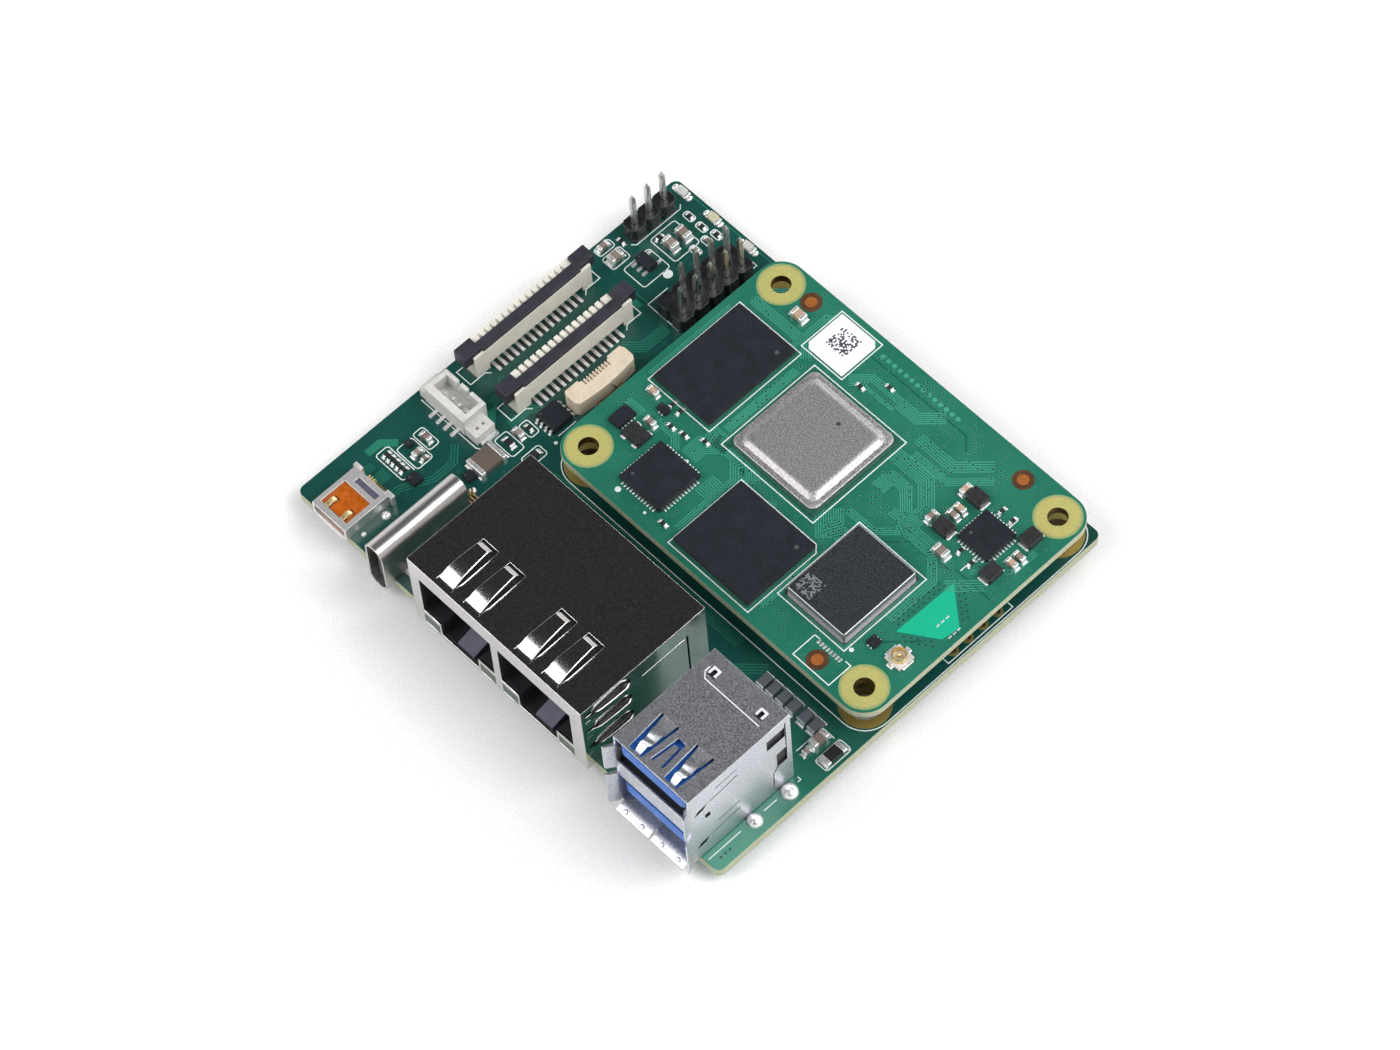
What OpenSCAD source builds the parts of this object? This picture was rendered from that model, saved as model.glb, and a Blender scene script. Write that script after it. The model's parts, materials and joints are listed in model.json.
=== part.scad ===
// Single board computer: a compute module plugged onto a carrier board that has
// two network sockets, two stacked bus sockets, a power socket, a display
// socket and two flat cable sockets. Millimetres, +Z up, ports face -Y.
// Parts are drawn about the carrier's centre with z = 0 on its underside, and
// place() then moves them so that the origin is the base centre of the whole.

/* [Carrier board] */
// Length of the carrier along X
board_w = 75; // [75:0.5:80]
// Depth of the carrier along Y
board_d = 64.8; // [64.8:0.2:70]
// Thickness of the carrier
board_t = 1.6; // [1.2:0.2:2]
// Corner radius of the carrier
board_r = 1; // [0.5:0.5:3]
// Diameter of the four bolt holes in the carrier
board_hole_d = 4.5; // [4:0.1:5]
// How far solder tails reach below the carrier
tail_drop = 1.7; // [1.7:0.1:2.4]

/* [Compute module] */
// Length of the module along X
module_w = 55; // [55:0.5:56]
// Depth of the module along Y
module_d = 40; // [40:0.5:41]
// Thickness of the module's board
module_t = 1.2; // [1:0.1:1.4]
// Corner radius of the module
module_r = 3.5; // [3:0.5:4]
// Gap between the two boards
stack_h = 3; // [2.6:0.1:4]
// Diameter of the module's bolt holes
module_hole_d = 2.7; // [2.5:0.1:2.8]
// Distance between bolt holes along X
hole_dx = 48; // [48:0.5:48]
// Distance between bolt holes along Y
hole_dy = 33; // [33:0.5:33]

/* [Flat cable sockets] */
// Number of contacts in each flat cable socket
cable_ways = 15; // [11:2:15]
// Distance between the two flat cable sockets
cable_gap_x = 7.5; // [7.5:0.1:7.5]

/* [Headers] */
// Pin spacing of the pin headers
pin_pitch = 2.54; // [2.54:0.01:2.54]
// Width of a square header pin
pin_w = 0.64; // [0.6:0.01:0.66]
// Height of the header pin tips over the carrier
pin_h = 8.5; // [8:0.1:9]

/* [Hidden] */

// Board frame
board_top = board_t;
front_y = -35;
centre_y = (front_y + board_d / 2) / 2;
sheet = 0.3;
slit = 0.25;
gap = 0.05;
solder_gap = 0.02;

// Module frame
module_x = 9.7;
module_y = 12.15;
module_z = board_top + stack_h;
module_top = module_z + module_t;

// Network sockets
eth_x = [-13.9, 16.5];
eth_y = [-33.8, -13.5];
eth_top = 15.2;
eth_port_x = [-5.9, 7.95];
eth_port_w = 12.6;
eth_port_z = [4.7, 12.1];
eth_port_deep = 12;
eth_notch_w = 6.6;
eth_notch_z = 2.3;
eth_insert_back = -21.4;
eth_ways = 8;
eth_pitch = 1.02;
eth_tail_rows = [-20, -17.5];

// Stacked bus sockets
usb_x = [22, 34.6];
usb_y = [-33.6, -17.1];
usb_z = [1.75, 17];
usb_divider_z = [7.9, 11.2];
usb_tongue_z = [4.9, 14];
usb_tongue_t = 2;
usb_tongue_half = 5.6;
usb_core_back = -21.5;
usb_mid_x = (usb_x[0] + usb_x[1]) / 2;

// Power socket, stood on its side in a slot at the carrier's edge
pwr_x = -20.9;
pwr_y = [-33.8, -19.7];
pwr_z = [0, 8.94];
pwr_w = 3.26;

// Display socket
dsp_x = [-33.75, -27.65];
dsp_y = [-32.9, -25.7];
dsp_z = [1.05, 3.9];

// Flat cable sockets, measured on the first one
cable_wall_x = -33.45;
cable_back_x = -36.4;
cable_y = [-5.7, 14.05];
cable_top = 5.9;
cable_mid_y = (cable_y[0] + cable_y[1]) / 2;
cable_pocket_x = [-35.15, -33.75];
cable_pocket_y = [-4.1, 12.45];
latch_travel_room = 0.1;

// Header pins
short_x = -35.05;
short_y = 23;
long_x = -20.95;
long_y = 17.9;

module place() {
    translate([0, -centre_y, tail_drop]) children();
}

// Straight block from low and high corners along each axis
module slab(x, y, z) {
    translate([x[0], y[0], z[0]]) cube([x[1] - x[0], y[1] - y[0], z[1] - z[0]]);
}

// Block that stands on a level, centred on a point
module chip(at, size, level) {
    translate([at[0] - size[0] / 2, at[1] - size[1] / 2, level]) cube(size);
}

// Flat plate with round corners
module round_plate(w, d, t, r) {
    for (sx = [-1, 1])
        for (sy = [-1, 1])
            translate([sx * (w / 2 - r), sy * (d / 2 - r), 0]) cylinder(r = r, h = t, $fn = 48);
    translate([-w / 2 + r, -d / 2, 0]) cube([w - 2 * r, d, t]);
    translate([-w / 2, -d / 2 + r, 0]) cube([w, d - 2 * r, t]);
}

// Outline in Y and Z drawn out along X from x[0] to x[1]
module along_x(x, points) {
    translate([x[0], 0, 0])
        rotate([90, 0, 90]) linear_extrude(x[1] - x[0]) polygon(points);
}

// Outline in X and Z drawn out along Y from y[0] to y[1]
module along_y(y, points) {
    translate([0, y[1], 0]) rotate([90, 0, 0]) linear_extrude(y[1] - y[0]) polygon(points);
}

// Outline in X and Y drawn out along Z from z[0] to z[1]
module along_z(z, points) {
    translate([0, 0, z[0]]) linear_extrude(z[1] - z[0]) polygon(points);
}

module at_bolt_holes() {
    for (sx = [-1, 1])
        for (sy = [-1, 1])
            translate([module_x + sx * hole_dx / 2, module_y + sy * hole_dy / 2, 0]) children();
}

module on_module() {
    translate([module_x, module_y, 0]) children();
}

// ---- Places of the pins that pass through the carrier ----

// Shield legs of the network sockets: x, y, width along x, width along y
eth_legs = [for (x = [eth_x[0] + sheet / 2, eth_x[1] - sheet / 2], y = [-29.5, -20.6]) [x, y, sheet, 1.6]];
// Signal pins of the network sockets, two staggered rows behind each port
eth_tails = [
    for (x = eth_port_x, row = [0, 1], i = [0 : 4])
        [x + (i - 2) * 2 * eth_pitch + row * eth_pitch, eth_tail_rows[row], 0.4, 0.4]
];
// Round plastic pegs of the network sockets
eth_pegs = [for (x = eth_port_x) [x, -27]];
eth_peg_r = 1.6;
// Shell legs of the bus sockets
usb_legs = [for (x = [usb_x[0] + sheet / 2, usb_x[1] - sheet / 2], y = [-24.6, -19]) [x, y, sheet, 1.2]];
// Signal pins of the bus sockets
usb_tails = [
    for (row = [0 : 3], i = [0 : 3 + row % 2])
        [usb_mid_x + (i - 1.5 - (row % 2) / 2) * 2, -30.2 + row * 2, 0.35, 0.35]
];
// Legs of the power socket
pwr_legs = [for (y = [-30.5, -24.5]) [pwr_x + pwr_w / 2 + 1.1, y, 0.3, 0.9]];
short_pins = [for (i = [0 : 2]) [short_x, short_y + i * pin_pitch, pin_w, pin_w]];
long_pins = [
    for (col = [0, 1], i = [0 : 4])
        if (!(col == 1 && i == 0)) [long_x - col * pin_pitch, long_y + i * pin_pitch, pin_w, pin_w]
];
// Open row of plated holes under the module's edge
spare_holes = [for (i = [0 : 3]) [35.9, 8.2 + i * pin_pitch]];
spare_hole_r = 0.5;

// Square prisms at a list of places
module prisms(places, z) {
    for (p = places)
        translate([p[0] - p[2] / 2, p[1] - p[3] / 2, z[0]]) cube([p[2], p[3], z[1] - z[0]]);
}

// ---- Carrier board ----

module carrier_board() {
    through = [-1, board_top + 1];
    color("darkgreen") place() difference() {
        round_plate(board_w, board_d, board_t, board_r);
        at_bolt_holes() translate([0, 0, -1]) cylinder(d = board_hole_d, h = board_t + 2, $fn = 64);
        slab([pwr_x - pwr_w / 2 - gap, pwr_x + pwr_w / 2 + gap], [-board_d / 2 - 1, pwr_y[1] + gap], through);
        prisms(concat(eth_legs, eth_tails, usb_legs, usb_tails, pwr_legs, short_pins, long_pins), through);
        for (p = eth_pegs)
            translate([p[0], p[1], -1]) cylinder(r = eth_peg_r + gap, h = board_t + 2, $fn = 48);
        for (p = spare_holes)
            translate([p[0], p[1], -1]) cylinder(r = spare_hole_r, h = board_t + 2, $fn = 32);
    }
}

// ---- Network sockets ----

eth_finger_x = [-7.9, -3.2, 5.8, 10.5];
eth_finger_root = 1.35;
eth_finger_tip = 0.9;
eth_side_spring_z = [5.4, 9.3, 13];

// Profile of a spring leaf rooted at the front: along y, and out from its sheet
leaf = [
    [-33.3, -sheet], [-33.3, 0], [-32.5, 0.15], [-31.3, 0.85], [-29, 1.05], [-26.8, 1.1], [-26.1, 0.5],
    [-26.4, 0.35], [-27, 0.8], [-29, 0.75], [-31.2, 0.55], [-32.4, -sheet + 0.1]
];

module ethernet_shield() {
    inner_x = [eth_x[0] + sheet, eth_x[1] - sheet];
    color("silver") place() {
        difference() {
            slab(eth_x, eth_y, [board_top + solder_gap, eth_top]);
            slab(inner_x, [eth_y[0] + sheet, eth_y[1] - sheet], [0, eth_top - sheet]);
            // mouths and light windows in the front
            for (port = eth_port_x) {
                slab([port - eth_port_w / 2, port + eth_port_w / 2], [eth_y[0] - 1, eth_y[0] + 1], eth_port_z);
                slab([port - eth_notch_w / 2, port + eth_notch_w / 2], [eth_y[0] - 1, eth_y[0] + 1],
                    [eth_notch_z, eth_port_z[1]]);
            }
            for (at = light_places)
                slab([at - light_w / 2, at + light_w / 2], [eth_y[0] - 1, eth_y[0] + 1], light_z);
            // openings around the spring fingers in the roof
            for (x = eth_finger_x)
                slab([x - eth_finger_root, x + eth_finger_root], [leaf[0][0] + 0.1, -25.5],
                    [eth_top - 1, eth_top + 1]);
            // openings around the springs in the right wall
            for (z = eth_side_spring_z)
                slab([eth_x[1] - 1, eth_x[1] + 1], [leaf[0][0] + 0.1, -25.9], [z - 0.9, z + 0.9]);
            // seams in the right wall
            slab([eth_x[1] - 1, eth_x[1] + 1], [-16.75, -16.5], [4, 12.3]);
            slab([eth_x[1] - 1, eth_x[1] + 1], [-24, -17], [12, 12.2]);
        }
        // roof fingers, rooted at the front and narrower behind
        for (x = eth_finger_x)
            intersection() {
                along_x([x - eth_finger_root, x + eth_finger_root], [
                    for (p = leaf) [p[0], eth_top + p[1]]
                ]);
                along_z([eth_top - 1, eth_top + 2], [
                    [x - eth_finger_root, -34], [x + eth_finger_root, -34], [x + eth_finger_tip, -26],
                    [x - eth_finger_tip, -26]
                ]);
            }
        // side springs of the same shape, bent out less
        for (z = eth_side_spring_z)
            along_z([z - 0.65, z + 0.65], [
                for (p = leaf) [eth_x[1] + (p[1] > 0 ? p[1] * 0.6 : p[1]), p[0]]
            ]);
        prisms(eth_legs, [-tail_drop, board_top + 1]);
    }
}

module ethernet_housing() {
    x = [eth_x[0] + sheet + solder_gap, eth_x[1] - sheet - solder_gap];
    color("dimgray") place() {
        difference() {
            slab(x, [eth_y[0] + sheet + gap, eth_insert_back], [board_top + solder_gap, eth_top - 0.5]);
            for (port = eth_port_x) {
                slab([port - eth_port_w / 2, port + eth_port_w / 2], [eth_y[0] - 1, eth_y[0] + eth_port_deep],
                    eth_port_z);
                slab([port - eth_notch_w / 2, port + eth_notch_w / 2], [eth_y[0] - 1, eth_y[0] + 9],
                    [eth_notch_z, eth_port_z[1]]);
                // comb of slots that the spring wires lie in
                slab([port - eth_ways * eth_pitch / 2, port + eth_ways * eth_pitch / 2],
                    [-32.2, eth_y[0] + eth_port_deep], [eth_port_z[1] - 1, 13.6]);
            }
            for (at = light_places)
                slab([at - light_w / 2 - gap, at + light_w / 2 + gap], [eth_y[0] - 1, light_back], light_z);
        }
        for (p = eth_pegs)
            translate([p[0], p[1], -tail_drop]) cylinder(r = eth_peg_r, h = tail_drop + board_top + 0.5, $fn = 48);
    }
}

light_w = 2.7;
light_z = [2, 4];
light_back = -31;
light_places = [
    for (port = eth_port_x, side = [-1, 1]) port + side * (eth_notch_w / 2 + light_w / 2 + 0.3)
];

module ethernet_light_pipes() {
    color("honeydew") place() for (at = light_places)
        slab([at - light_w / 2 + gap, at + light_w / 2 - gap], [eth_y[0] + gap, light_back - gap],
            [light_z[0] + gap, light_z[1] - gap]);
}

module ethernet_contacts() {
    wire = 0.36;
    color("gold") place() {
        // spring wires, sloping back from the roof of each port
        for (port = eth_port_x, i = [0 : eth_ways - 1]) {
            x = port + (i - (eth_ways - 1) / 2) * eth_pitch;
            along_x([x - wire / 2, x + wire / 2], [
                [-32, 13.1], [-32, 12.8], [-31.3, 12.2], [-24, 9.5], [-21.9, 12.6],
                [-21.9, 13.3], [-24, 10], [-31.2, 12.7], [-31.4, 13.1]
            ]);
        }
        prisms(eth_tails, [-tail_drop + 0.1, board_top + 0.6]);
    }
}

module ethernet_magnetics() {
    color("black") place() difference() {
        slab([eth_x[0] + 0.6, eth_x[1] - 0.6], [eth_insert_back + gap, eth_y[1] - 0.6], [board_top + 0.3, eth_top - 0.6]);
        prisms([for (t = eth_tails) [t[0], t[1], t[2] + 2 * gap, t[3] + 2 * gap]], [0, board_top + 0.7]);
    }
}

// ---- Stacked bus sockets ----

module usb_shell() {
    inner_x = [usb_x[0] + sheet, usb_x[1] - sheet];
    lip_y = [front_y, usb_y[0] + 0.02];
    color("silver") place() {
        difference() {
            slab(usb_x, usb_y, usb_z);
            slab(inner_x, [usb_y[0] - 1, usb_y[1] - sheet], [usb_z[0] + sheet, usb_z[1] - sheet]);
            // spring windows and the open notch between them in the roof
            for (s = [-1, 1])
                along_z([usb_z[1] - 1, usb_z[1] + 1], [for (p = usb_window) [usb_mid_x + s * usb_spring_x + p[0], p[1]]]);
            for (s = [-1, 1])
                along_z([usb_z[1] - 1, usb_z[1] + 1], [
                    for (p = usb_notch) [usb_mid_x + s * p[0], p[1]]
                ]);
            // small punched holes at the back of the roof
            for (x = [-3.95, 3.95])
                slab([usb_mid_x + x - 0.6, usb_mid_x + x + 0.6], [-20.1, -18.9], [usb_z[1] - 1, usb_z[1] + 1]);
            // slots and windows in both side walls
            for (x = [usb_x[0], usb_x[1]], cut = usb_side_cuts)
                along_x([x - 1, x + 1], cut);
        }
        // front of the divider between the two mouths
        slab([inner_x[0] - 0.1, inner_x[1] + 0.1], [usb_y[0], usb_y[0] + sheet], usb_divider_z);
        // roof springs, dished into the windows
        for (s = [-1, 1])
            intersection() {
                along_x([usb_x[0], usb_x[1]], [
                    for (p = usb_spring) [p[0], usb_z[1] + p[1]]
                ]);
                along_z([usb_z[1] - 2, usb_z[1] + 1], [
                    for (p = [[-1.2, -27], [-0.4, -33], [0.4, -33], [1.2, -27]])
                        [usb_mid_x + s * usb_spring_x + p[0], p[1]]
                ]);
            }
        // flared lips round the front
        for (s = [0, 1])
            mirror([s, 0, 0]) translate([s * -2 * usb_mid_x, 0, 0])
                for (z = [[1.75, 8.6], [10.2, 15.4]])
                    along_z(z, [
                        [usb_x[1] - sheet, usb_y[0]], [usb_x[1], usb_y[0]], [usb_x[1] + 0.7, lip_y[0]],
                        [usb_x[1] + 0.4, lip_y[0]], [usb_x[1] - sheet, lip_y[1] - 0.4]
                    ]);
        for (x = [-2.95, 2.95])
            along_x([usb_mid_x + x - 2.75, usb_mid_x + x + 2.75], [
                [usb_y[0], usb_z[0]], [usb_y[0], usb_z[0] + sheet], [front_y, usb_z[0] - 0.5],
                [front_y, usb_z[0] - 0.8]
            ]);
        prisms(usb_legs, [-tail_drop, usb_z[0] + 1]);
    }
}

// Window round a roof spring, its spring's profile, and one leg of the notch between the windows
usb_spring_x = 2.95;
usb_window = [[-1.5, -27.4], [-1.05, -33.2], [1.05, -33.2], [1.5, -27.4]];
usb_spring = [
    [-27.3, -sheet], [-27.3, 0], [-29, -0.25], [-29.8, 0], [-30.5, -0.4], [-31.2, -0.45], [-31.8, 0],
    [-32.9, -0.7], [-32.9, -0.95], [-31.8, -0.3], [-31.2, -0.75], [-30.5, -0.7], [-29.8, -0.3], [-29, -0.55]
];
usb_notch = [[-0.1, -28.4], [-0.1, -29.3], [0.35, -29.3], [0.65, -32.5], [1.0, -32.5], [0.6, -28.4]];

// Openings in the side walls, as outlines along y and z
usb_side_cuts = [
    [[-25.8, 15.1], [-29.3, 15], [-29.3, 14.8], [-25.8, 14.95]],
    [[-25.8, 13.6], [-32.3, 12.9], [-32.9, 12.2], [-31.4, 12.4], [-30.9, 12.9], [-25.8, 13.4]],
    [[-31.2, 10.8], [-30.4, 10.8], [-30.4, 9.9], [-31.2, 9.9]],
    [[-25.8, 7.2], [-29.3, 7.1], [-29.3, 6.9], [-25.8, 7.05]],
    [[-25.8, 5.6], [-32.3, 4.9], [-32.9, 4.2], [-31.4, 4.4], [-30.9, 4.9], [-25.8, 5.4]],
    [[-21, 15], [-18.1, 15], [-18.1, 12.9], [-21, 12.9]],
    [[-19.6, 10.2], [-18.05, 10.2], [-18.05, 15.9], [-17.9, 15.9], [-17.9, 7.2], [-19.4, 7.2], [-20.2, 6.2],
        [-20.2, 3.4], [-20.35, 3.4], [-20.35, 6.3], [-19.6, 7.4]]
];

module usb_housing() {
    x = [usb_x[0] + sheet + solder_gap, usb_x[1] - sheet - solder_gap];
    color("black") place() {
        // block behind the sockets
        difference() {
            slab(x, [usb_core_back, usb_y[1] - sheet - 0.1], [usb_z[0] + sheet + solder_gap, usb_z[1] - 0.5]);
            for (z = usb_tongue_z)
                slab([usb_mid_x - usb_tongue_half - gap, usb_mid_x + usb_tongue_half + gap],
                    [usb_core_back - 1, usb_core_back + 1.5], [z - gap, z + usb_tongue_t + gap]);
        }
        // divider between the two mouths
        slab([x[0] + 0.2, x[1] - 0.2], [usb_y[0] + sheet + gap, usb_core_back],
            [usb_divider_z[0] + 0.2, usb_divider_z[1] - 0.2]);
    }
}

// One side of a tongue seen from above, with a round front corner
usb_tongue_edge = [
    [usb_tongue_half, usb_core_back + 1.4], [usb_tongue_half, usb_y[0] + 0.9],
    [usb_tongue_half - 0.25, usb_y[0] + 0.35], [usb_tongue_half - 0.8, usb_y[0] + 0.1]
];

module usb_tongues() {
    color("royalblue") place() for (z = usb_tongue_z)
        difference() {
            along_z([z, z + usb_tongue_t], [
                for (s = [-1, 1], p = s < 0 ? usb_tongue_edge : [for (i = [3 : -1 : 0]) usb_tongue_edge[i]])
                    [usb_mid_x + s * p[0], p[1]]
            ]);
            for (i = [-1.5 : 1.5])
                slab([usb_mid_x + i * 2.3 - 0.55, usb_mid_x + i * 2.3 + 0.55], [usb_y[0] + 1.4, usb_core_back + 2],
                    [z - 1, z + 0.35]);
        }
}

module usb_contacts() {
    color("gold") place() {
        for (z = usb_tongue_z, i = [-1.5 : 1.5])
            along_x([usb_mid_x + i * 2.3 - 0.45, usb_mid_x + i * 2.3 + 0.45], [
                [usb_y[0] + 1.5, z + 0.05], [usb_y[0] + 1.5, z + 0.3], [usb_core_back + 1.3, z + 0.3],
                [usb_core_back + 1.3, z + 0.05], [usb_y[0] + 4.4, z + 0.05], [usb_y[0] + 3.4, z - 0.45],
                [usb_y[0] + 2.4, z + 0.05]
            ]);
        prisms(usb_tails, [-tail_drop + 0.1, usb_z[0] - 0.05]);
    }
}

// ---- Power socket ----

// Outline with two round ends, w across X and standing from z[0] to z[1]
module upright_tube(w, z, y) {
    r = w / 2;
    for (end = [z[0] + r, z[1] - r])
        translate([pwr_x, y[1], end]) rotate([90, 0, 0]) cylinder(r = r, h = y[1] - y[0], $fn = 48);
    slab([pwr_x - r, pwr_x + r], y, [z[0] + r, z[1] - r]);
}

module power_socket_shell() {
    color("silver") place() {
        difference() {
            upright_tube(pwr_w, pwr_z, pwr_y);
            upright_tube(pwr_w - 2 * sheet, [pwr_z[0] + sheet, pwr_z[1] - sheet], [pwr_y[0] - 1, pwr_y[1] + 1]);
        }
        for (leg = pwr_legs) {
            slab([pwr_x + pwr_w / 2 - 0.1, leg[0] + leg[2] / 2], [leg[1] - leg[3] / 2, leg[1] + leg[3] / 2],
                [board_top + solder_gap, board_top + 0.3]);
            prisms([leg], [-tail_drop, board_top + 0.3]);
        }
    }
}

module power_socket_core() {
    bore = [pwr_z[0] + sheet + gap, pwr_z[1] - sheet - gap];
    color("black") place() difference() {
        union() {
            upright_tube(pwr_w - 2 * sheet - 2 * gap, bore, [-26.6, pwr_y[1] - 0.3]);
            slab([pwr_x - 0.35, pwr_x + 0.35], [-33.1, -26.6], [1.15, 7.8]);
        }
        for (s = [-1, 1], i = [0 : 5])
            slab([pwr_x + s * 0.35 - 0.1, pwr_x + s * 0.35 + 0.1], [-32.4, -26.7],
                [1.95 + i - 0.2, 1.95 + i + 0.2]);
    }
}

module power_socket_contacts() {
    color("gold") place() {
        for (s = [-1, 1], i = [0 : 5])
            slab([pwr_x + s * 0.35 - 0.08, pwr_x + s * 0.35 + 0.08], [-32.3, -26.8],
                [1.95 + i - 0.18, 1.95 + i + 0.18]);
        // solder legs behind the shell
        for (i = [0 : 3])
            along_y([pwr_y[1] + 0.15 + i * 0.5, pwr_y[1] + 0.4 + i * 0.5], [
                [pwr_x - 0.2, board_top + solder_gap], [pwr_x + 1.6, board_top + solder_gap],
                [pwr_x + 1.6, board_top + 0.25], [pwr_x + 0.05, board_top + 0.25],
                [pwr_x + 0.05, 4.2], [pwr_x - 0.2, 4.2]
            ]);
    }
}

// ---- Display socket ----

module display_socket_shell() {
    base = board_top + solder_gap;
    edge = -board_d / 2 - 0.05;
    color("silver") place() {
        difference() {
            slab(dsp_x, dsp_y, [base, dsp_z[1]]);
            slab([dsp_x[0] + sheet, dsp_x[1] - sheet], [dsp_y[0] - 1, dsp_y[1] + 1], [base + sheet, dsp_z[1] - sheet]);
            slab(dsp_window_x, dsp_window_y, [dsp_z[1] - 1, dsp_z[1] + 1]);
            slab([dsp_window_x[0] + 0.9, dsp_window_x[1]], [dsp_y[1] - 1.6, dsp_y[1] - 0.75], [dsp_z[1] - 1, dsp_z[1] + 1]);
        }
        // contact springs reaching forward in the roof window
        for (s = [-1, 1])
            along_x([dsp_spring_x + s * 1.4 - 0.35, dsp_spring_x + s * 1.4 + 0.35], [
                [dsp_window_y[0] - 0.1, dsp_z[1] - 0.25], [dsp_window_y[0] - 0.1, dsp_z[1] - 0.02],
                [dsp_window_y[0] + 0.5, dsp_z[1] - 0.02], [dsp_window_y[0] + 1, dsp_z[1] + 0.12],
                [dsp_window_y[0] + 1.6, dsp_z[1] - 0.1], [dsp_window_y[0] + 1.6, dsp_z[1] - 0.3],
                [dsp_window_y[0] + 1, dsp_z[1] - 0.12], [dsp_window_y[0] + 0.5, dsp_z[1] - 0.25]
            ]);
        // rear ears and front chin
        for (x = [[dsp_x[0] - 0.5, dsp_x[0] + 0.8], [dsp_x[1] - 0.8, dsp_x[1] + 0.5]])
            slab(x, [dsp_y[1], dsp_y[1] + 0.6], [base, dsp_z[1] - 0.2]);
        slab([dsp_x[0] + 0.8, dsp_x[1] - 0.8], [dsp_y[0], edge], [dsp_z[0], base]);
    }
}

// Roof window of the display socket
dsp_window_x = [-33.1, -28.4];
dsp_window_y = [-32, -28];
dsp_spring_x = (dsp_window_x[0] + dsp_window_x[1]) / 2;

module display_socket_core() {
    x = [dsp_x[0] + sheet + gap, dsp_x[1] - sheet - gap];
    base = board_top + sheet + 2 * solder_gap;
    roof = dsp_z[1] - sheet - gap;
    color("saddlebrown") place() {
        slab(x, [-28, dsp_y[1] - gap], [base, roof]);
        slab([x[0] + 0.8, x[1] - 0.8], [dsp_y[0] + 0.5, -28], [base + 0.55, base + 1.1]);
        // cover under the roof window, with a groove under each spring
        difference() {
            slab([x[0] + 0.1, x[1] - 0.1], [dsp_y[0] + 0.5, -28], [roof - 0.3, roof]);
            for (s = [-1, 1])
                slab([dsp_spring_x + s * 1.4 - 0.45, dsp_spring_x + s * 1.4 + 0.45],
                    [dsp_y[0] + 0.4, dsp_window_y[0] + 1.9], [roof - 1, roof + 1]);
        }
    }
}

module display_socket_contacts() {
    mid = (dsp_x[0] + dsp_x[1]) / 2;
    base = board_top + sheet + 2 * solder_gap + 1.1;
    color("gold") place() {
        for (i = [-4.5 : 4.5])
            slab([mid + i * 0.4 - 0.1, mid + i * 0.4 + 0.1], [dsp_y[0] + 0.7, -28.1], [base, base + 0.1]);
        for (i = [-4.5 : 4.5])
            slab([mid + i * 0.4 - 0.1, mid + i * 0.4 + 0.1], [dsp_y[1] + 0.25, dsp_y[1] + 1.1],
                [board_top + solder_gap, board_top + 0.2]);
    }
}

// ---- Flat cable sockets ----

module cable_socket() {
    half_ways = (cable_ways - 1) / 2;
    difference() {
        slab([cable_back_x, cable_wall_x], cable_y, [board_top + solder_gap, cable_top]);
        // pocket for the cable and its latch
        slab(cable_pocket_x, cable_pocket_y, [2.9, cable_top + 1]);
        // comb of slots in the back wall
        for (i = [-half_ways : half_ways])
            slab([cable_back_x - 1, cable_pocket_x[0] + 0.1], [cable_mid_y + i - 0.18, cable_mid_y + i + 0.18],
                [4.4, cable_top + 1]);
        // lower ends that the latch's ears wrap
        for (y = [[cable_y[0] - 1, cable_y[0] + 1.55], [cable_y[1] - 1.55, cable_y[1] + 1]])
            slab([cable_back_x - 1, cable_wall_x - 0.4], y, [4.35, cable_top + 1]);
        // cut-out where the contact legs come out
        slab([cable_wall_x - 1.9, cable_wall_x + 1], [cable_y[0] + 2.2, cable_y[1] - 1.65], [1, 2.75]);
    }
}

module camera_cable_socket() {
    color("tan") place() cable_socket();
}

module panel_cable_socket() {
    color("tan") place() translate([cable_gap_x, 0, 0]) cable_socket();
}

module flat_cable_contacts() {
    half_ways = (cable_ways - 1) / 2;
    color("silver") place() for (shift = [0, cable_gap_x], i = [-half_ways : half_ways])
        translate([shift, cable_mid_y + i, 0])
            slab([cable_wall_x - 1.7, cable_wall_x + 1.2], [-0.23, 0.23], [board_top + solder_gap, board_top + 0.25]);
}

module cable_latch() {
    bar_x = [cable_pocket_x[0] + 0.1, cable_pocket_x[1] - 0.35];
    ear_x = [-36.1, cable_wall_x - 0.4 - latch_travel_room];
    top = 6.5;
    // bar that presses on the cable, with a brim over the wall
    slab(bar_x, [cable_pocket_y[0] + 0.1, cable_pocket_y[1] - 0.1], [3.3, top]);
    slab([bar_x[0], cable_wall_x - 0.05], cable_pocket_y, [cable_top + 0.05, top]);
    // ears that are gripped to lift it
    for (s = [-1, 1])
        translate([0, cable_mid_y, 0]) {
            end = (cable_y[1] - cable_y[0]) / 2;
            reach = [end - 1.65 + 0.1, end + 1.15];
            slab(ear_x, s > 0 ? reach : [-reach[1], -reach[0]], [4.45, top]);
            slab([bar_x[0], ear_x[1]], s > 0 ? [end - 1.8, reach[1]] : [-reach[1], 1.8 - end], [cable_top + 0.05, top]);
        }
}

module camera_cable_latch() {
    color("darkslategray") place() cable_latch();
}

module panel_cable_latch() {
    color("darkslategray") place() translate([cable_gap_x, 0, 0]) cable_latch();
}

// ---- Fan socket ----

fan_x = [-35.7, -28.4];
fan_y = [-12.5, -8.6];
fan_top = 4.8;
fan_pins_x = [-33.5, -32.2, -30.9, -29.6];

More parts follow.
